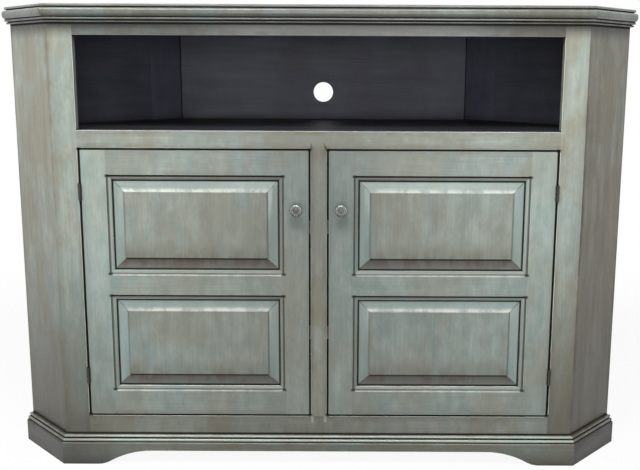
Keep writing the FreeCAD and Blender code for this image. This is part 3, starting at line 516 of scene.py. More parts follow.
# for each piece: its own tone, how much glaze it kept, how blue it is, and how it darkens downwards; the tones are
# partly painted shade, as on the top rail under the top and on the darker right wing and right base pieces, and
# the downward darkening partly paints the light falling off
pieceToneAndShade = {
    "wing_left": (1.08, 0.60, 0.2, 0.95), "wing_right": (0.78, 1.15, -0.4, 0.80),
    "stile_left": (0.97, 0.42, 0.35, 0.70), "stile_right": (1.03, 0.46, 0.25, 0.78),
    "centre_stile": (0.90, 0.60, 0.0, 0.0), "bottom_rail": (0.80, 0.56, 0.1, 0.3),
    "top_rail": (0.51, 0.70, 0.0, 0.0), "middle_rail": (0.92, 0.42, 0.25, 0.0),
    "top_board": (0.43, 0.50, 0.2, 0.0), "top_moulding_front": (1.64, 0.45, 0.0, 0.0),
    "top_moulding_left": (1.10, 0.60, 0.0, 0.0), "top_moulding_right": (0.80, 0.90, 0.0, 0.0),
    "base_moulding_front": (1.34, 0.16, 0.2, 0.0), "base_board_front": (1.14, 0.44, 0.35, 0.45),
    "base_moulding_left": (0.70, 0.80, 0.0, 0.0), "base_moulding_right": (0.48, 1.0, -0.3, 0.0),
    "base_board_left": (0.52, 1.05, -0.2, 0.6), "base_board_right": (0.20, 1.3, -0.4, 0.6),
}
doorTones = {
    "hinge_stile": (1.04, 0.14, 0.60, 0.40), "latch_stile": (0.86, 0.20, 0.42, 0.0),
    "top_rail": (0.88, 0.24, 0.45, 0.0), "middle_rail": (0.86, 0.20, 0.45, 0.0),
    "bottom_rail": (0.93, 0.22, 0.45, 0.2),
    "upper_panel": (0.84, 0.30, 0.15, 0.0), "lower_panel": (0.79, 0.28, 0.25, 0.0),
}
for side in ("left", "right"):
    pieceToneAndShade.update({f"{side}_door_{part}": tones for part, tones in doorTones.items()})

# how much of the lacquer a piece keeps, by the start of its name
lacquerShares = {"top_board": 1.4, "top_moulding": 1.6, "base_moulding": 2.0, "wing": 0.3, "base_board": 0.4}
framedBoards = ("stile_left", "stile_right", "centre_stile", "middle_rail", "bottom_rail")
ledgeBoards = ("wing", "stile", "centre", "bottom_rail", "top_rail")


def makeSweepGroup():
    # the slow changes of tone over the whole stand, as one factor, with a painted shadow under the top
    group, source, result = newGroup("paintSweep", {"Place": "Vector"}, ("Tone",))
    place, look = split(source["Place"]), sweepLook
    sideways, across, height = place[0], absolute(place[0]), place[2]
    onTop = restOf(isUnder(height, boxes["top_board"][0].z))
    shadedUnderTop = largest(ramp(height, *look["shadowUnderTop"]), onTop)
    dull = times(ramp(height, *look["dullUp"]), ramp(across, *look["dullAcross"]))
    foot = times(ramp(height, *look["footUp"]), ramp(sideways, *look["footAcross"]))
    tone = times(ramp(across, *look["across"]), shadedUnderTop, restOf(dull), restOf(foot))
    feed(result["Tone"], times(tone, ramp(height, *look["floor"])))
    return group


sweepGroup = makeSweepGroup()


def linesRound(place, opening, look):
    # one line of glaze round an opening, given as the two corners of a box
    low, high = opening
    past, line = look
    half = (high - low) / 2 + Vector((past, 0.0, past))
    inputs = {"Place": place, "Middle": (low + high) / 2, "Half Size": half, **line}
    return groupOf(place.id_data, openingGroup, inputs)


def doorBox(side):
    parts = ("hinge_stile", "latch_stile", "top_rail", "bottom_rail")
    return cornersOf(corner for part in parts for corner in boxes[f"{side}_door_{part}"])


def openingLines(name, place):
    # round both doors, and on a door's own boards round its two panels, which also have the painted glint
    lines = [linesRound(place, doorBox(side), doorLine)["Line"] for side in ("left", "right")]
    paintedGlints = []
    if "_door_" in name:
        side = name.split("_")[0]
        for part in ("upper", "lower"):
            found = linesRound(place, boxes[f"{side}_door_{part}_panel"], stickingLine)
            lines.append(found["Line"])
            paintedGlints.append(found["PaintedGlint"])
    return largest(*lines), paintedGlints


def ledgeLines(height):
    # dark lines of glaze and painted shade just over the base moulding and just under the top moulding
    near, far, less = ledgeLine
    base, top = boxes["base_moulding_front"][1].z, boxes["top_moulding_front"][0].z
    return largest(ramp(height, base + near, base + far, 1.0, 0.0), ramp(height, top - far, top - near, 0.0, less))


def paintFor(name, board):
    tone, brown, blue, low = pieceToneAndShade[name]
    seed = sum(ord(letter) * (index + 1) for index, letter in enumerate(name)) % 97 / 10
    material, shader, onBoard, grain, edges = startBoard("paint_", name, board, seed)
    tree, look = material.node_tree, paintLook
    whole = objectPlace(tree)
    height = split(whole)[2]
    clouds = groupOf(tree, cloudGroup, {"Place": whole})
    flecks = groupOf(tree, speckGroup, {"Place": onBoard["Place"]})
    mottle, glaze, paleAndHighlight = clouds["Mottle"], look["glaze"], look["paleAndHighlight"]

    # the more glaze a piece kept, the more of it lies in streaks, along its sides and at its ends; the wide
    # hollows add painted shade to it
    shares = {mark: least + more * brown for mark, (least, more) in look["marks"].items()}
    cool = calc("ADD", times(clouds["Patch"], look["coolClouds"]), blue, clamp=True)
    overall = max(brown - look["browned"], 0.0)
    blush = calc("ADD", times(clouds["Blush"], shares["blush"]), overall, clamp=True)
    streaks = times(grain["Broad"], shares["streaks"])
    sides, ends = (times(edges[end], mottle, shares[mark]) for end, mark in (("Side", "sides"), ("End", "ends")))
    left = calc("ADD", plus(streaks, sides, ends), times(edges["ShadedHollow"], look["hollowShade"]), clamp=True)
    painted = layered(
        look["paint"],
        (cool, look["coolPaint"]),
        (times(mottle, look["rubbedClouds"]), paleAndHighlight),
        (times(grain["Fine"], look["brushLines"]), glaze),
        (blush, look["warm"]),
        (left, glaze),
    )
    # dark lines of glaze and painted shade: the creases where shade falls, the panel's groove and field, the door
    # gaps, the stickings and the ledges
    lineAndShade, paintedGlints = edges["ShadedCrease"], []
    if name.endswith("_panel"):
        lines = groupOf(tree, panelGroup, {**onBoard, **panelSizes})
        lineAndShade = largest(lineAndShade, lines["Groove"], lines["Field"])
        for mask, (span, tint) in panelCoats.items():
            painted = blend(times(lines[mask], ramp(mottle, *span)), painted, tint)
    elif "_door_" in name or name in framedBoards:
        lines, paintedGlints = openingLines(name, whole)
        lineAndShade = largest(times(lineAndShade, *[restOf(paintedGlint) for paintedGlint in paintedGlints]), lines)
    if name.startswith(ledgeBoards):
        lineAndShade = largest(lineAndShade, ledgeLines(height))
    bare = restOf(lineAndShade)
    # the arrises rubbed pale: partly wear, partly a painted highlight
    arrisWearAndSheen = times(attributeOf(tree, "arris"), bare, ramp(mottle, *look["arrisWearAndSheenShare"]))
    worked = layered(
        painted,
        (ramp(height, *look["darkens"], low, 0.0), scaled(look["lowTone"], glaze)),
        (arrisWearAndSheen, paleAndHighlight),
        (times(flecks["Dust"], look["dust"]), paleAndHighlight),
        *[(times(paintedGlint, ramp(mottle, *look["paintedGlintShare"])), scaled(look["paintedGlintTone"], paleAndHighlight)) for paintedGlint in paintedGlints],
    )
    sweep = groupOf(tree, sweepGroup, {"Place": whole})["Tone"]
    toned = addNode(tree, "ShaderNodeVectorMath", operation="SCALE")
    feedAll(toned, {0: worked, "Scale": times(sweep, tone)})
    share = next((value for start, value in lacquerShares.items() if name.startswith(start)), 1.0)
    rough = ramp(times(plus(grain["Fine"], left), 0.5), 0.0, 1.0, *look["roughness"])
    feedAll(shader, {
        "Base Color": layered(
            toned.outputs[0], (lineAndShade, look["line"]), (times(flecks["Speck"], look["flecks"]), look["line"])),
        "Roughness": largest(rough, times(lineAndShade, look["creaseRoughness"])),
        "Coat Weight": times(restOf(times(left, look["lacquerLost"])), bare, look["lacquer"] * share),
        "Coat Roughness": look["lacquerRoughness"],
        "Specular IOR Level": 0.5,
    })
    addBump(shader, grain["Fine"], look["bump"])
    return material


# Slate-stained boards inside the case

slateLook = {
    "stain": colour(98, 100, 112),
    "pale": colour(128, 132, 146),
    "deep": colour(56, 56, 66),
    "line": colour(12, 12, 14),
    "brushLines": 0.22,                 # how much of each mark there is
    "patches": 0.45,
    "streaks": 0.30,
    "arrises": 0.5,
    "dust": 0.10,
    "seams": 0.9,
    "seamFrom": (0.90, 0.97),
    "roughness": (0.42, 0.62),
    "bump": 0.2 * mm,
}
# each board's tone of the one stain: the bay floor darker, the back panel lighter and the rear sides darker as
# painted light and shade, and the corner boards a little tinted
slateToneAndLight = {"bay_floor": (0.13, 0.13, 0.13), "back_panel": (1.16, 1.14, 1.12)}
for side in ("left", "right"):
    slateToneAndLight["rear_side_" + side] = (0.76, 0.75, 0.78)
    slateToneAndLight["corner_board_" + side] = (0.96, 0.92, 1.02)


def slateFor(name, board):
    material, shader, onBoard, grain, edges = startBoard("slate_", name, board, len(name) * 1.7)
    tree, look = material.node_tree, slateLook
    clouds, flecks = (groupOf(tree, group, {"Place": onBoard["Place"]}) for group in (cloudGroup, speckGroup))
    stain = layered(
        look["stain"],
        (times(grain["Fine"], look["brushLines"]), look["deep"]),
        (times(clouds["Patch"], look["patches"]), look["pale"]),
        (times(grain["Broad"], look["streaks"]), look["deep"]),
        # painted shade in the wide hollows
        (edges["ShadedHollow"], look["deep"]),
        (times(attributeOf(tree, "arris"), look["arrises"]), look["pale"]),
        (times(flecks["Dust"], look["dust"]), look["pale"]),
    )
    stain = blend(1.0, stain, (*slateToneAndLight.get(name, (1.0, 1.0, 1.0)), 1.0), "MULTIPLY")
    # dark seams along the board sides, and painted shade in the creases
    seamAndShade = largest(edges["ShadedCrease"], ramp(edges["Side"], *look["seamFrom"]))
    feedAll(shader, {
        "Base Color": blend(times(seamAndShade, look["seams"]), stain, look["line"]),
        "Roughness": ramp(grain["Fine"], 0.0, 1.0, *look["roughness"]),
        "Specular IOR Level": 0.3,
    })
    addBump(shader, grain["Fine"], look["bump"])
    return material


# Bare softwood of the glue blocks

softwoodLook = {
    "early": colour(214, 184, 139),
    "late": colour(172, 128, 82),
    "seed": 4.0,
    "brushLines": 0.3,                  # how much of each mark there is
    "creaseShade": 0.5,
    "creaseShadeTone": 0.4,
    "roughness": (0.55, 0.8),
    "bump": 0.2 * mm,
}


def softwoodFor(name, board):
    look, late = softwoodLook, softwoodLook["late"]
    material, shader, _, grain, edges = startBoard("softwood_", name, board, look["seed"])
    rings = layered(
        look["early"],
        (grain["Broad"], late),
        (times(grain["Fine"], look["brushLines"]), late),
        # painted shade in the creases
        (times(edges["ShadedCrease"], look["creaseShade"]), scaled(look["creaseShadeTone"], late)),
    )
    feedAll(shader, {"Base Color": rings, "Roughness": ramp(grain["Fine"], 0.0, 1.0, *look["roughness"])})
    addBump(shader, grain["Fine"], look["bump"])
    return material


# Metal and moulded plastic of the small parts: colour, dark in the recesses, pale on the edges

metalLooks = {
    "pewter": {"bright": colour(160, 164, 161), "dark": colour(24, 24, 22), "metallic": 1.0,
               "roughness": (0.16, 0.34), "patina": 0.85, "scale": 420.0, "bump": 0.06 * mm},
    "hinge_metal": {"bright": colour(74, 71, 64), "dark": colour(14, 12, 10), "metallic": 1.0,
                    "roughness": (0.34, 0.6), "patina": 0.8, "scale": 300.0, "bump": 0.05 * mm},
    "steel": {"bright": colour(200, 201, 203), "dark": colour(110, 108, 104), "metallic": 1.0,
              "roughness": (0.26, 0.45), "patina": 0.35, "scale": 500.0, "bump": 0.04 * mm},
    "magnet": {"bright": colour(70, 68, 67), "dark": colour(30, 29, 29), "metallic": 0.2,
               "roughness": (0.5, 0.75), "patina": 0.5, "scale": 700.0, "bump": 0.08 * mm},
    "catch_plastic": {"bright": colour(226, 221, 206), "dark": colour(176, 168, 148), "metallic": 0.0,
                      "roughness": (0.38, 0.52), "patina": 0.4, "scale": 900.0, "bump": 0.03 * mm},
}
metalMarks = {
    "clouds": (4.0, 0.6),               # the detail and roughness of their noise
    "cloudShare": (0.35, 0.68),
    "cloudyPatina": 0.22,               # how much of the patina lies in clouds
    "brightArris": 0.3,
}


def makeMetal(slotName):
    look, marks = metalLooks[slotName], metalMarks
    material, tree, shader = newMaterial(slotName + "_finish")
    place = objectPlace(tree)
    edges = groupOf(tree, edgeGroup, {"Place": place, "Half Size": (1.0, 1.0, 1.0)})
    cloud = ramp(noiseOf(place, *marks["clouds"], look["scale"]), *marks["cloudShare"])
    # patina in the recesses, and on the knobs also the painted shade of their lower side
    hidden = times(plus(edges["ShadedCrease"], attributeOf(tree, "patinaAndShade")), look["patina"])
    darkened = calc("ADD", hidden, times(cloud, marks["cloudyPatina"] * look["patina"]), clamp=True)
    bright = times(edges["Arris"], marks["brightArris"])
    tone = layered(look["bright"], (darkened, look["dark"]), (bright, look["bright"]))
    rough = ramp(cloud, 0.0, 1.0, *look["roughness"])
    feedAll(shader, {"Base Color": tone, "Roughness": rough, "Metallic": look["metallic"]})
    addBump(shader, cloud, look["bump"])
    return material


metals = {name: makeMetal(name) for name in metalLooks}
print("finishes made")


# Eased boards: copies of the boards with their free arrises rounded over

easeLook = {
    "arris": 1.1 * mm,                  # how far the sandpaper takes an arris off
    "segments": 3,
    "sharpAngle": math.radians(50),
    "touching": 0.45 * mm,              # an edge nearer than this to another board is a joint and stays sharp
    "testedAt": (0.15, 0.5, 0.85),      # along the edge
    "endMargin": 2 * mm,                # no line is cut nearer than this to a board's own end
    "weld": 0.002 * mm,
    "flat": math.radians(0.4),
    "smoothAngle": math.radians(32),
}


def surfaceOf(name):
    mesh = nodes[name].data
    return BVHTree.FromPolygons([vertex.co for vertex in mesh.vertices], [face.vertices for face in mesh.polygons])


surfaces = {name: surfaceOf(name) for name in nodes}


def neighboursOf(name, reach):
    low, high = boxes[name]
    near = []
    for other, (otherLow, otherHigh) in boxes.items():
        apart = max(max(otherLow[axis] - high[axis], low[axis] - otherHigh[axis]) for axis in range(3))
        if other != name and apart < reach and bodyOf[other] == bodyOf[name]:
            near.append(other)
    return near


def cutWhereBoardsMeet(board, name, near):
    # a crossing board's edge becomes a line in this board, so that an arris can stop there
    low, high = boxes[name]
    margin = easeLook["endMargin"]
    for axis in range(3):
        normal = Vector([float(index == axis) for index in range(3)])
        for cut in sorted({round(boxes[other][end][axis], 6) for other in near for end in range(2)}):
            if low[axis] + margin < cut < high[axis] - margin:
                everything = board.verts[:] + board.edges[:] + board.faces[:]
                bmesh.ops.bisect_plane(
                    board, geom=everything, dist=easeLook["weld"], plane_co=normal * cut, plane_no=normal)


def isFree(edge, near):
    if len(edge.link_faces) != 2 or not edge.is_convex or edge.calc_face_angle(0.0) < easeLook["sharpAngle"]:
        return False
    first, second = (vertex.co for vertex in edge.verts)
    points = [first.lerp(second, share) for share in easeLook["testedAt"]]
    return all(surfaces[other].find_nearest(point, easeLook["touching"])[0] is None
               for point in points for other in near)


def setFinish(mesh, material):
    mesh.materials.clear()
    mesh.materials.append(material)


def fillMesh(mesh, work, material):
    bmesh.ops.recalc_face_normals(work, faces=work.faces)
    work.to_mesh(mesh)
    work.free()
    setFinish(mesh, material)
    mesh.shade_smooth()


def easedCopy(name, material):
    mesh = nodes[name].data.copy()
    mesh.name = name + "_eased"
    work = bmesh.new()
    work.from_mesh(mesh)
    bmesh.ops.remove_doubles(work, verts=work.verts, dist=easeLook["weld"])
    bmesh.ops.dissolve_limit(work, angle_limit=easeLook["flat"], verts=work.verts, edges=work.edges)
    near = neighboursOf(name, easeLook["touching"])
    cutWhereBoardsMeet(work, name, near)
    arris = work.faces.layers.float.new("arris")
    free = [edge for edge in work.edges if isFree(edge, near)]
    eased = bmesh.ops.bevel(work, geom=free, offset=easeLook["arris"], offset_type="OFFSET", affect="EDGES",
                            segments=easeLook["segments"], profile=0.5, clamp_overlap=False)
    for face in eased["faces"]:
        face[arris] = 1.0
    fillMesh(mesh, work, material)
    mesh.set_sharp_from_angle(angle=easeLook["smoothAngle"])
    piece = addObject(name + "_finished", mesh)
    piece.modifiers.new("weightedNormals", "WEIGHTED_NORMAL").keep_sharp = True
    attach(piece, bodyOf[name])
    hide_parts(name)


paintedBoards = {
    "stile_left": standing, "stile_right": standing, "centre_stile": standing,
    "top_rail": level, "middle_rail": level, "bottom_rail": level,
    "top_board": lying, "top_moulding_front": level, "base_moulding_front": level, "base_board_front": level,
}
for side, way in (("left", -1), ("right", 1)):
    paintedBoards["wing_" + side] = turned(standing, way)
    for part in ("top_moulding_", "base_moulding_", "base_board_"):
        paintedBoards[part + side] = turned(level, way)
    for part in ("hinge_stile", "latch_stile", "upper_panel", "lower_panel"):
        paintedBoards[f"{side}_door_{part}"] = standing
    for part in ("top_rail", "middle_rail", "bottom_rail"):
        paintedBoards[f"{side}_door_{part}"] = level

for name, board in paintedBoards.items():
    easedCopy(name, paintFor(name, board))
print("painted boards eased:", len(paintedBoards))

slateBoards = {
    "back_panel": level, "bay_floor": lying, "cupboard_floor": lying, "partition": endOn,
    "shelf_left": lying, "shelf_right": lying,
    "rear_side_left": turned(level, 1), "rear_side_right": turned(level, -1),
    "corner_board_left": standing, "corner_board_right": standing,
}
for name, board in slateBoards.items():
    easedCopy(name, slateFor(name, board))
print("inner boards eased:", len(slateBoards))


# Knobs: turned pewter with a raised ring round a hammered middle

knobLook = {
    "around": 72,
    # share of the radius, share of the reach, from the door outwards
    "profile": ((0.0, 0.0), (0.56, 0.0), (0.62, 0.03), (0.62, 0.08), (0.50, 0.12), (0.38, 0.20), (0.36, 0.36),
                (0.40, 0.50), (0.62, 0.62), (0.86, 0.70), (0.97, 0.76), (1.0, 0.83), (0.98, 0.90), (0.91, 0.97),
                (0.83, 1.0), (0.75, 0.975), (0.70, 0.93), (0.66, 0.915)),
    "smooth": 3,                # steps between two points of the profile
    "dishRings": 16,
    "dishRise": 0.02,           # share of the reach that the middle swells
    "dents": 37,
    "dentSpread": 0.10,         # share of the radius
    "dentDepth": 0.022,         # share of the reach
    "dentStrength": (0.5, 1.0),
    "dentsFull": 0.25,          # from the ring inwards, the share of the dish after which dents are full
    "seed": 11,
    "agedMiddle": 0.78,         # how much patina the middle and the neck keep, and how much painted shade the lower side gets
    "agedNeck": 0.9,
    "shadedBelow": 1.0,
    "agedFlat": 0.6,            # share of the middle's patina that lies between the dents
    "neckEnd": 0.7,             # share of the reach
}


def smoothProfile(points, steps):
    # a Catmull-Rom line through the points
    line = []
    for index in range(len(points) - 1):
        around = [Vector(points[min(max(index + shift, 0), len(points) - 1)]) for shift in (-1, 0, 1, 2)]
        before, start, end, after = around
        for step in range(steps):
            share = step / steps
            bend = 2 * start + (end - before) * share
            bend += (2 * before - 5 * start + 4 * end - after) * share ** 2
            bend += (3 * start - before - 3 * end + after) * share ** 3
            line.append(bend / 2)
    return line + [Vector(points[-1])]


def makeKnob(side):
    name, look = f"{side}_door_knob", knobLook
    low, high = boxes[name]
    middle, radius, reach = (low + high) / 2, (high.x - low.x) / 2, high.y - low.y
    chance = random.Random(look["seed"])
    golden = math.pi * (3 - math.sqrt(5))
    edge, start = look["profile"][-1]
    dents = []
    for index in range(look["dents"]):
        out, angle = edge * math.sqrt((index + 0.5) / look["dents"]), index * golden
        dents.append((out * math.cos(angle), out * math.sin(angle), chance.uniform(*look["dentStrength"])))

    def hammered(across, up):
        # how deep a dent is here, as a share of the deepest
        return max(strength * math.exp(-(math.hypot(across - dentAcross, up - dentUp) / look["dentSpread"]) ** 2)
                   for dentAcross, dentUp, strength in dents)

    rings = [(max(point.x, 0.0), min(max(point.y, 0.0), 1.0), 0.0)
             for point in smoothProfile(look["profile"], look["smooth"])]
    for ring in range(1, look["dishRings"] + 1):
        share = ring / look["dishRings"]
        swell = look["dishRise"] * math.sin(share * math.pi / 2)
        rings.append((edge * (1 - share), start + swell, min(1.0, share / look["dentsFull"])))
    work = bmesh.new()
    patinaAndShade = work.verts.layers.float.new("patinaAndShade")
    angles = [2 * math.pi * step / look["around"] for step in range(look["around"])]
    rows = []
    for out, along, dented in rings:
        rows.append([])
        for angle in angles:
            across, up = out * math.cos(angle), out * math.sin(angle)
            dent = hammered(across, up)
            depth = along - dented * dent * look["dentDepth"]
            vertex = work.verts.new((middle.x + across * radius, high.y - depth * reach, middle.z + up * radius))
            neck = look["agedNeck"] * max(0.0, 1 - along / look["neckEnd"])
            # painted shade on the lower side of the ring
            paintedShadeBelow = look["shadedBelow"] * max(0.0, -math.sin(angle))
            patina = look["agedMiddle"] * (look["agedFlat"] + dent)
            vertex[patinaAndShade] = patina * dented if dented else max(neck, paintedShadeBelow)
            rows[-1].append(vertex)
    for first, second in zip(rows, rows[1:]):
        for step in range(look["around"]):
            following = (step + 1) % look["around"]
            work.faces.new((first[step], first[following], second[following], second[step]))
    bmesh.ops.remove_doubles(work, verts=work.verts, dist=easeLook["weld"])
    mesh = bpy.data.meshes.new(name + "_turned")
    fillMesh(mesh, work, metals["pewter"])
    knob = addObject(name + "_turned", mesh)
    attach(knob, bodyOf[name])
    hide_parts(name)


for side in ("left", "right"):
    makeKnob(side)
print("knobs turned")


# Countersunk screws: one tree turns a screw with its thread and cross recess, and sets it at each place

screwLook = {
    "sides": 16,
    "rings": 36,
    "sizes": {
        "Head Share": 0.125,    # of the length: the countersunk head
        "Shank Share": 0.54,    # of the head's radius
        "Thread Share": 0.17,   # of the shank's radius: how deep the thread is cut
        "Turns": 8.0,
        "Point Share": 0.18,    # of the length
        "Recess Reach": 0.60,   # of the head's radius, from the middle
        "Recess Width": 0.13,   # the same, to each side
        "Recess Depth": 0.36,
    },
    "pointEnd": 0.14,           # of the shank's radius, left at the very tip
    "seed": 5,
    "sharpAngle": math.radians(35),
}


def makeScrewTree():
    kinds = {"Places": "Geometry", "Finish": "Material", "Head Radius": "Float", "Length": "Float"}
    kinds.update({name: "Float" for name in screwLook["sizes"]})
    tree, source, result = newGroup("countersunkScrews", kinds, ("Screws",), "GeometryNodeTree", "Geometry")
    tree.is_modifier = True
    radius, length = source["Head Radius"], source["Length"]

    # a cylinder is drawn in to the head's cone, the threaded shank and the point
    blank = addNode(tree, "GeometryNodeMeshCylinder", {
        "Vertices": screwLook["sides"], "Side Segments": screwLook["rings"], "Radius": 1.0, "Depth": length})
    place = split(addNode(tree, "GeometryNodeInputPosition").outputs[0])
    across, up, depth = place[0], place[1], plus(place[2], times(length, 0.5))
    along = calc("DIVIDE", depth, length)
    turn = calc("DIVIDE", calc("ARCTAN2", up, across), 2 * math.pi)
    wave = calc("FRACT", plus(times(along, source["Turns"]), turn))
    thread = times(absolute(minus(times(wave, 2.0), 1.0)), isOver(along, source["Head Share"]))
    shank = ramp(along, 0.0, source["Head Share"], 1.0, source["Shank Share"], "LINEAR")
    tip = ramp(along, restOf(source["Point Share"]), 1.0, 1.0, screwLook["pointEnd"], "LINEAR")
    reach = times(shank, restOf(times(thread, source["Thread Share"])), tip, radius)
    drawnIn = joined(tree, (times(across, reach), times(up, reach), depth))
    shaped = addNode(tree, "GeometryNodeSetPosition", {"Geometry": blank.outputs["Mesh"], "Position": drawnIn})

    recess = addNode(tree, "GeometryNodeMeshBoolean", {"Mesh 1": shaped.outputs[0]}, operation="DIFFERENCE")
    reach, width, deep = (times(source["Recess " + name], radius, 2.0) for name in ("Reach", "Width", "Depth"))
    for sides in ((reach, width, deep), (width, reach, deep)):
        bar = addNode(tree, "GeometryNodeMeshCube", {"Size": joined(tree, sides)})
        feed(recess.inputs["Mesh 2"], bar.outputs["Mesh"])

    # each screw points inwards, and chance turns its recess
    inward = addNode(tree, "GeometryNodeInputNamedAttribute", {"Name": "inward"}, data_type="FLOAT_VECTOR")
    aimed = addNode(tree, "FunctionNodeAlignRotationToVector", {"Vector": inward.outputs[0]}, axis="Z").outputs[0]
    chance = addNode(tree, "FunctionNodeRandomValue", {"Seed": screwLook["seed"]}, data_type="FLOAT")
    spin = joined(tree, (0.0, 0.0, times(chance.outputs[1], math.pi)))
    turn = addNode(tree, "FunctionNodeEulerToRotation", {0: spin}).outputs[0]
    spun = addNode(tree, "FunctionNodeRotateRotation", {0: aimed, 1: turn}, rotation_space="LOCAL")
    driven = addNode(tree, "GeometryNodeInstanceOnPoints", {
        "Points": source["Places"], "Instance": recess.outputs["Mesh"], "Rotation": spun.outputs[0]})
    real = addNode(tree, "GeometryNodeRealizeInstances", {0: driven.outputs[0]})
    inputs = {"Geometry": real.outputs[0], "Material": source["Finish"]}
    feed(result[0], addNode(tree, "GeometryNodeSetMaterial", inputs).outputs[0])
    return tree


def loosePiecesOf(name):
    # the points of each separate solid in a node
    work = bmesh.new()
    work.from_mesh(nodes[name].data)
    bmesh.ops.remove_doubles(work, verts=work.verts, dist=easeLook["weld"])
    pieces, seen = [], set()
    for start in work.verts:
        if start in seen:
            continue
        seen.add(start)
        waiting, piece = [start], []
        while waiting:
            vertex = waiting.pop()
            piece.append(vertex.co.copy())
            for edge in vertex.link_edges:
                other = edge.other_vert(vertex)
                if other not in seen:
                    seen.add(other)
                    waiting.append(other)
        pieces.append(piece)
    work.free()
    return pieces


def measureScrew(points):
    # the middle of the head's face, the way the screw points, the head's radius and the whole length
    low, high = cornersOf(points)
    size, middle = high - low, (low + high) / 2
    axis = max(range(3), key=lambda index: size[index])
    radius = sorted(size)[1] / 2
    wide = {}
    for sign, end in ((1, low), (-1, high)):
        near = [point for point in points if abs(point[axis] - end[axis]) < radius / 4]
        wide[sign] = max((point - middle).length_squared - (point[axis] - middle[axis]) ** 2 for point in near)
    sign = max(wide, key=wide.get)
    head, inward = middle.copy(), Vector((0.0, 0.0, 0.0))
    head[axis] = (low if sign > 0 else high)[axis]
    inward[axis] = sign
    return head, inward, radius, size[axis]


def driveScrews(name, tree):
    heads, ways, radii, lengths = zip(*[measureScrew(points) for points in loosePiecesOf(name)])
    mesh = bpy.data.meshes.new(name + "_places")
    mesh.from_pydata(heads, [], [])
    for item, way in zip(mesh.attributes.new("inward", "FLOAT_VECTOR", "POINT").data, ways):
        item.vector = way
    driven = addObject(name + "_driven", mesh)
    sizes = {"Finish": metals["steel"], "Head Radius": radii[0], "Length": lengths[0], **screwLook["sizes"]}
    modifier = driven.modifiers.new("screws", "NODES")
    modifier.node_group = tree
    for item in tree.interface.items_tree:
        if item.in_out == "INPUT" and item.name in sizes:
            modifier[item.identifier] = sizes[item.name]
    graph = bpy.context.evaluated_depsgraph_get()
    plain = bpy.data.meshes.new_from_object(driven.evaluated_get(graph), depsgraph=graph)
    driven.modifiers.clear()
    driven.data = plain
    plain.shade_smooth()
    plain.set_sharp_from_angle(angle=screwLook["sharpAngle"])
    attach(driven, bodyOf[name])
    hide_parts(name)
    return len(heads)


screwTree = makeScrewTree()
for name in ("frame_screws", "left_door_screws", "right_door_screws"):
    print("screws driven:", name, driveScrews(name, screwTree))


# Small parts that keep their own solids

smallParts = {
    "shelf_pins": "steel", "frame_hinge_leaves": "hinge_metal", "hinge_pins": "hinge_metal",
    "catch_housings": "catch_plastic", "catch_magnets": "magnet",
}
for side in ("left", "right"):
    smallParts[f"{side}_door_hinge_leaves"] = "hinge_metal"
    smallParts[f"{side}_door_knob_screw"] = "steel"
    smallParts[f"{side}_door_strikes"] = "steel"
for name, slotName in smallParts.items():
    setFinish(nodes[name].data, metals[slotName])
setFinish(nodes["glue_blocks"].data, softwoodFor("glue_blocks", level))
print("small parts finished:", len(smallParts) + 1)


# Floor, lamps and the pale room

stageLook = {
    "floorReach": 30.0,
    "floorColour": colour(246, 246, 245),
    "bounceColour": colour(100, 99, 96),
    "glow": (1.1, 2.4, 0.92, 1.0),      # how pale the floor is, between these distances from the stand
    "roomLight": 0.21,
}
lamps = {
    "overhead": {"place": (-0.25, -1.40, 2.50), "aim": (0.0, -0.20, 0.85), "size": (2.2, 0.6), "watts": 68.0},
    "leftFill": {"place": (-2.7, -1.3, 1.9), "aim": (0.0, 0.0, 0.8), "size": (1.0, 1.2), "watts": 9.0},
    "rightFill": {"place": (2.8, -1.2, 1.8), "aim": (0.0, 0.0, 0.8), "size": (1.0, 1.2), "watts": 5.5},
    "frontFill": {"place": (0.1, -3.0, 0.95), "aim": (0.0, 0.0, 0.80), "size": (1.4, 0.8), "watts": 15.5},
}


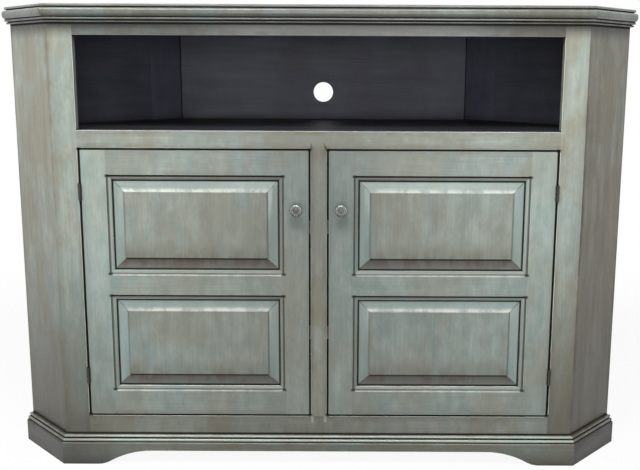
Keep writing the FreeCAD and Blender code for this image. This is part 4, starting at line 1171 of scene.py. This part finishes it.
def seenDirectly(tree):
    # 1 for the camera's own rays and for what metal and glass show of the room
    path = addNode(tree, "ShaderNodeLightPath").outputs
    return calc("ADD", plus(path["Is Camera Ray"], path["Is Glossy Ray"]), path["Is Transmission Ray"], clamp=True)


def makeFloor():
    reach = stageLook["floorReach"]
    mesh = bpy.data.meshes.new("studioFloor")
    corners = [(-reach, -reach, 0.0), (reach, -reach, 0.0), (reach, reach, 0.0), (-reach, reach, 0.0)]
    mesh.from_pydata(corners, [], [(0, 1, 2, 3)])
    floor = addObject("studioFloor", mesh)
    material, tree, shader = newMaterial("studioFloor")
    mesh.materials.append(material)
    seen = seenDirectly(tree)
    tint = blend(seen, stageLook["bounceColour"], stageLook["floorColour"])
    feedAll(shader, {"Base Color": tint, "Roughness": 0.9, "Specular IOR Level": 0.0})
    glow = addNode(tree, "ShaderNodeEmission", {"Strength": 1.0})
    away = addNode(tree, "ShaderNodeVectorMath", {0: objectPlace(tree)}, operation="LENGTH").outputs["Value"]
    share = times(ramp(away, *stageLook["glow"]), seen)
    mix = addNode(tree, "ShaderNodeMixShader", {0: share, 1: shader.outputs[0], 2: glow.outputs[0]})
    feed(tree.nodes["Material Output"].inputs["Surface"], mix.outputs[0])


def makeLamps():
    for name, lamp in lamps.items():
        data = bpy.data.lights.new(name, "AREA")
        data.shape = "RECTANGLE"
        data.size, data.size_y = lamp["size"]
        data.energy = lamp["watts"]
        light = addObject(name, data)
        light.location = lamp["place"]
        away = Vector(lamp["aim"]) - Vector(lamp["place"])
        light.rotation_euler = away.to_track_quat("-Z", "Y").to_euler()


def makeRoom():
    world = bpy.data.worlds.new("studioRoom")
    bpy.context.scene.world = world
    world.use_nodes = True
    brightness = ramp(seenDirectly(world.node_tree), 0.0, 1.0, stageLook["roomLight"], 1.0)
    feedAll(world.node_tree.nodes["Background"], {"Color": (1.0, 1.0, 1.0, 1.0), "Strength": brightness})


makeFloor()
makeLamps()
makeRoom()
bpy.context.scene.view_settings.view_transform = "Standard"
print("floor, lamps and room made")
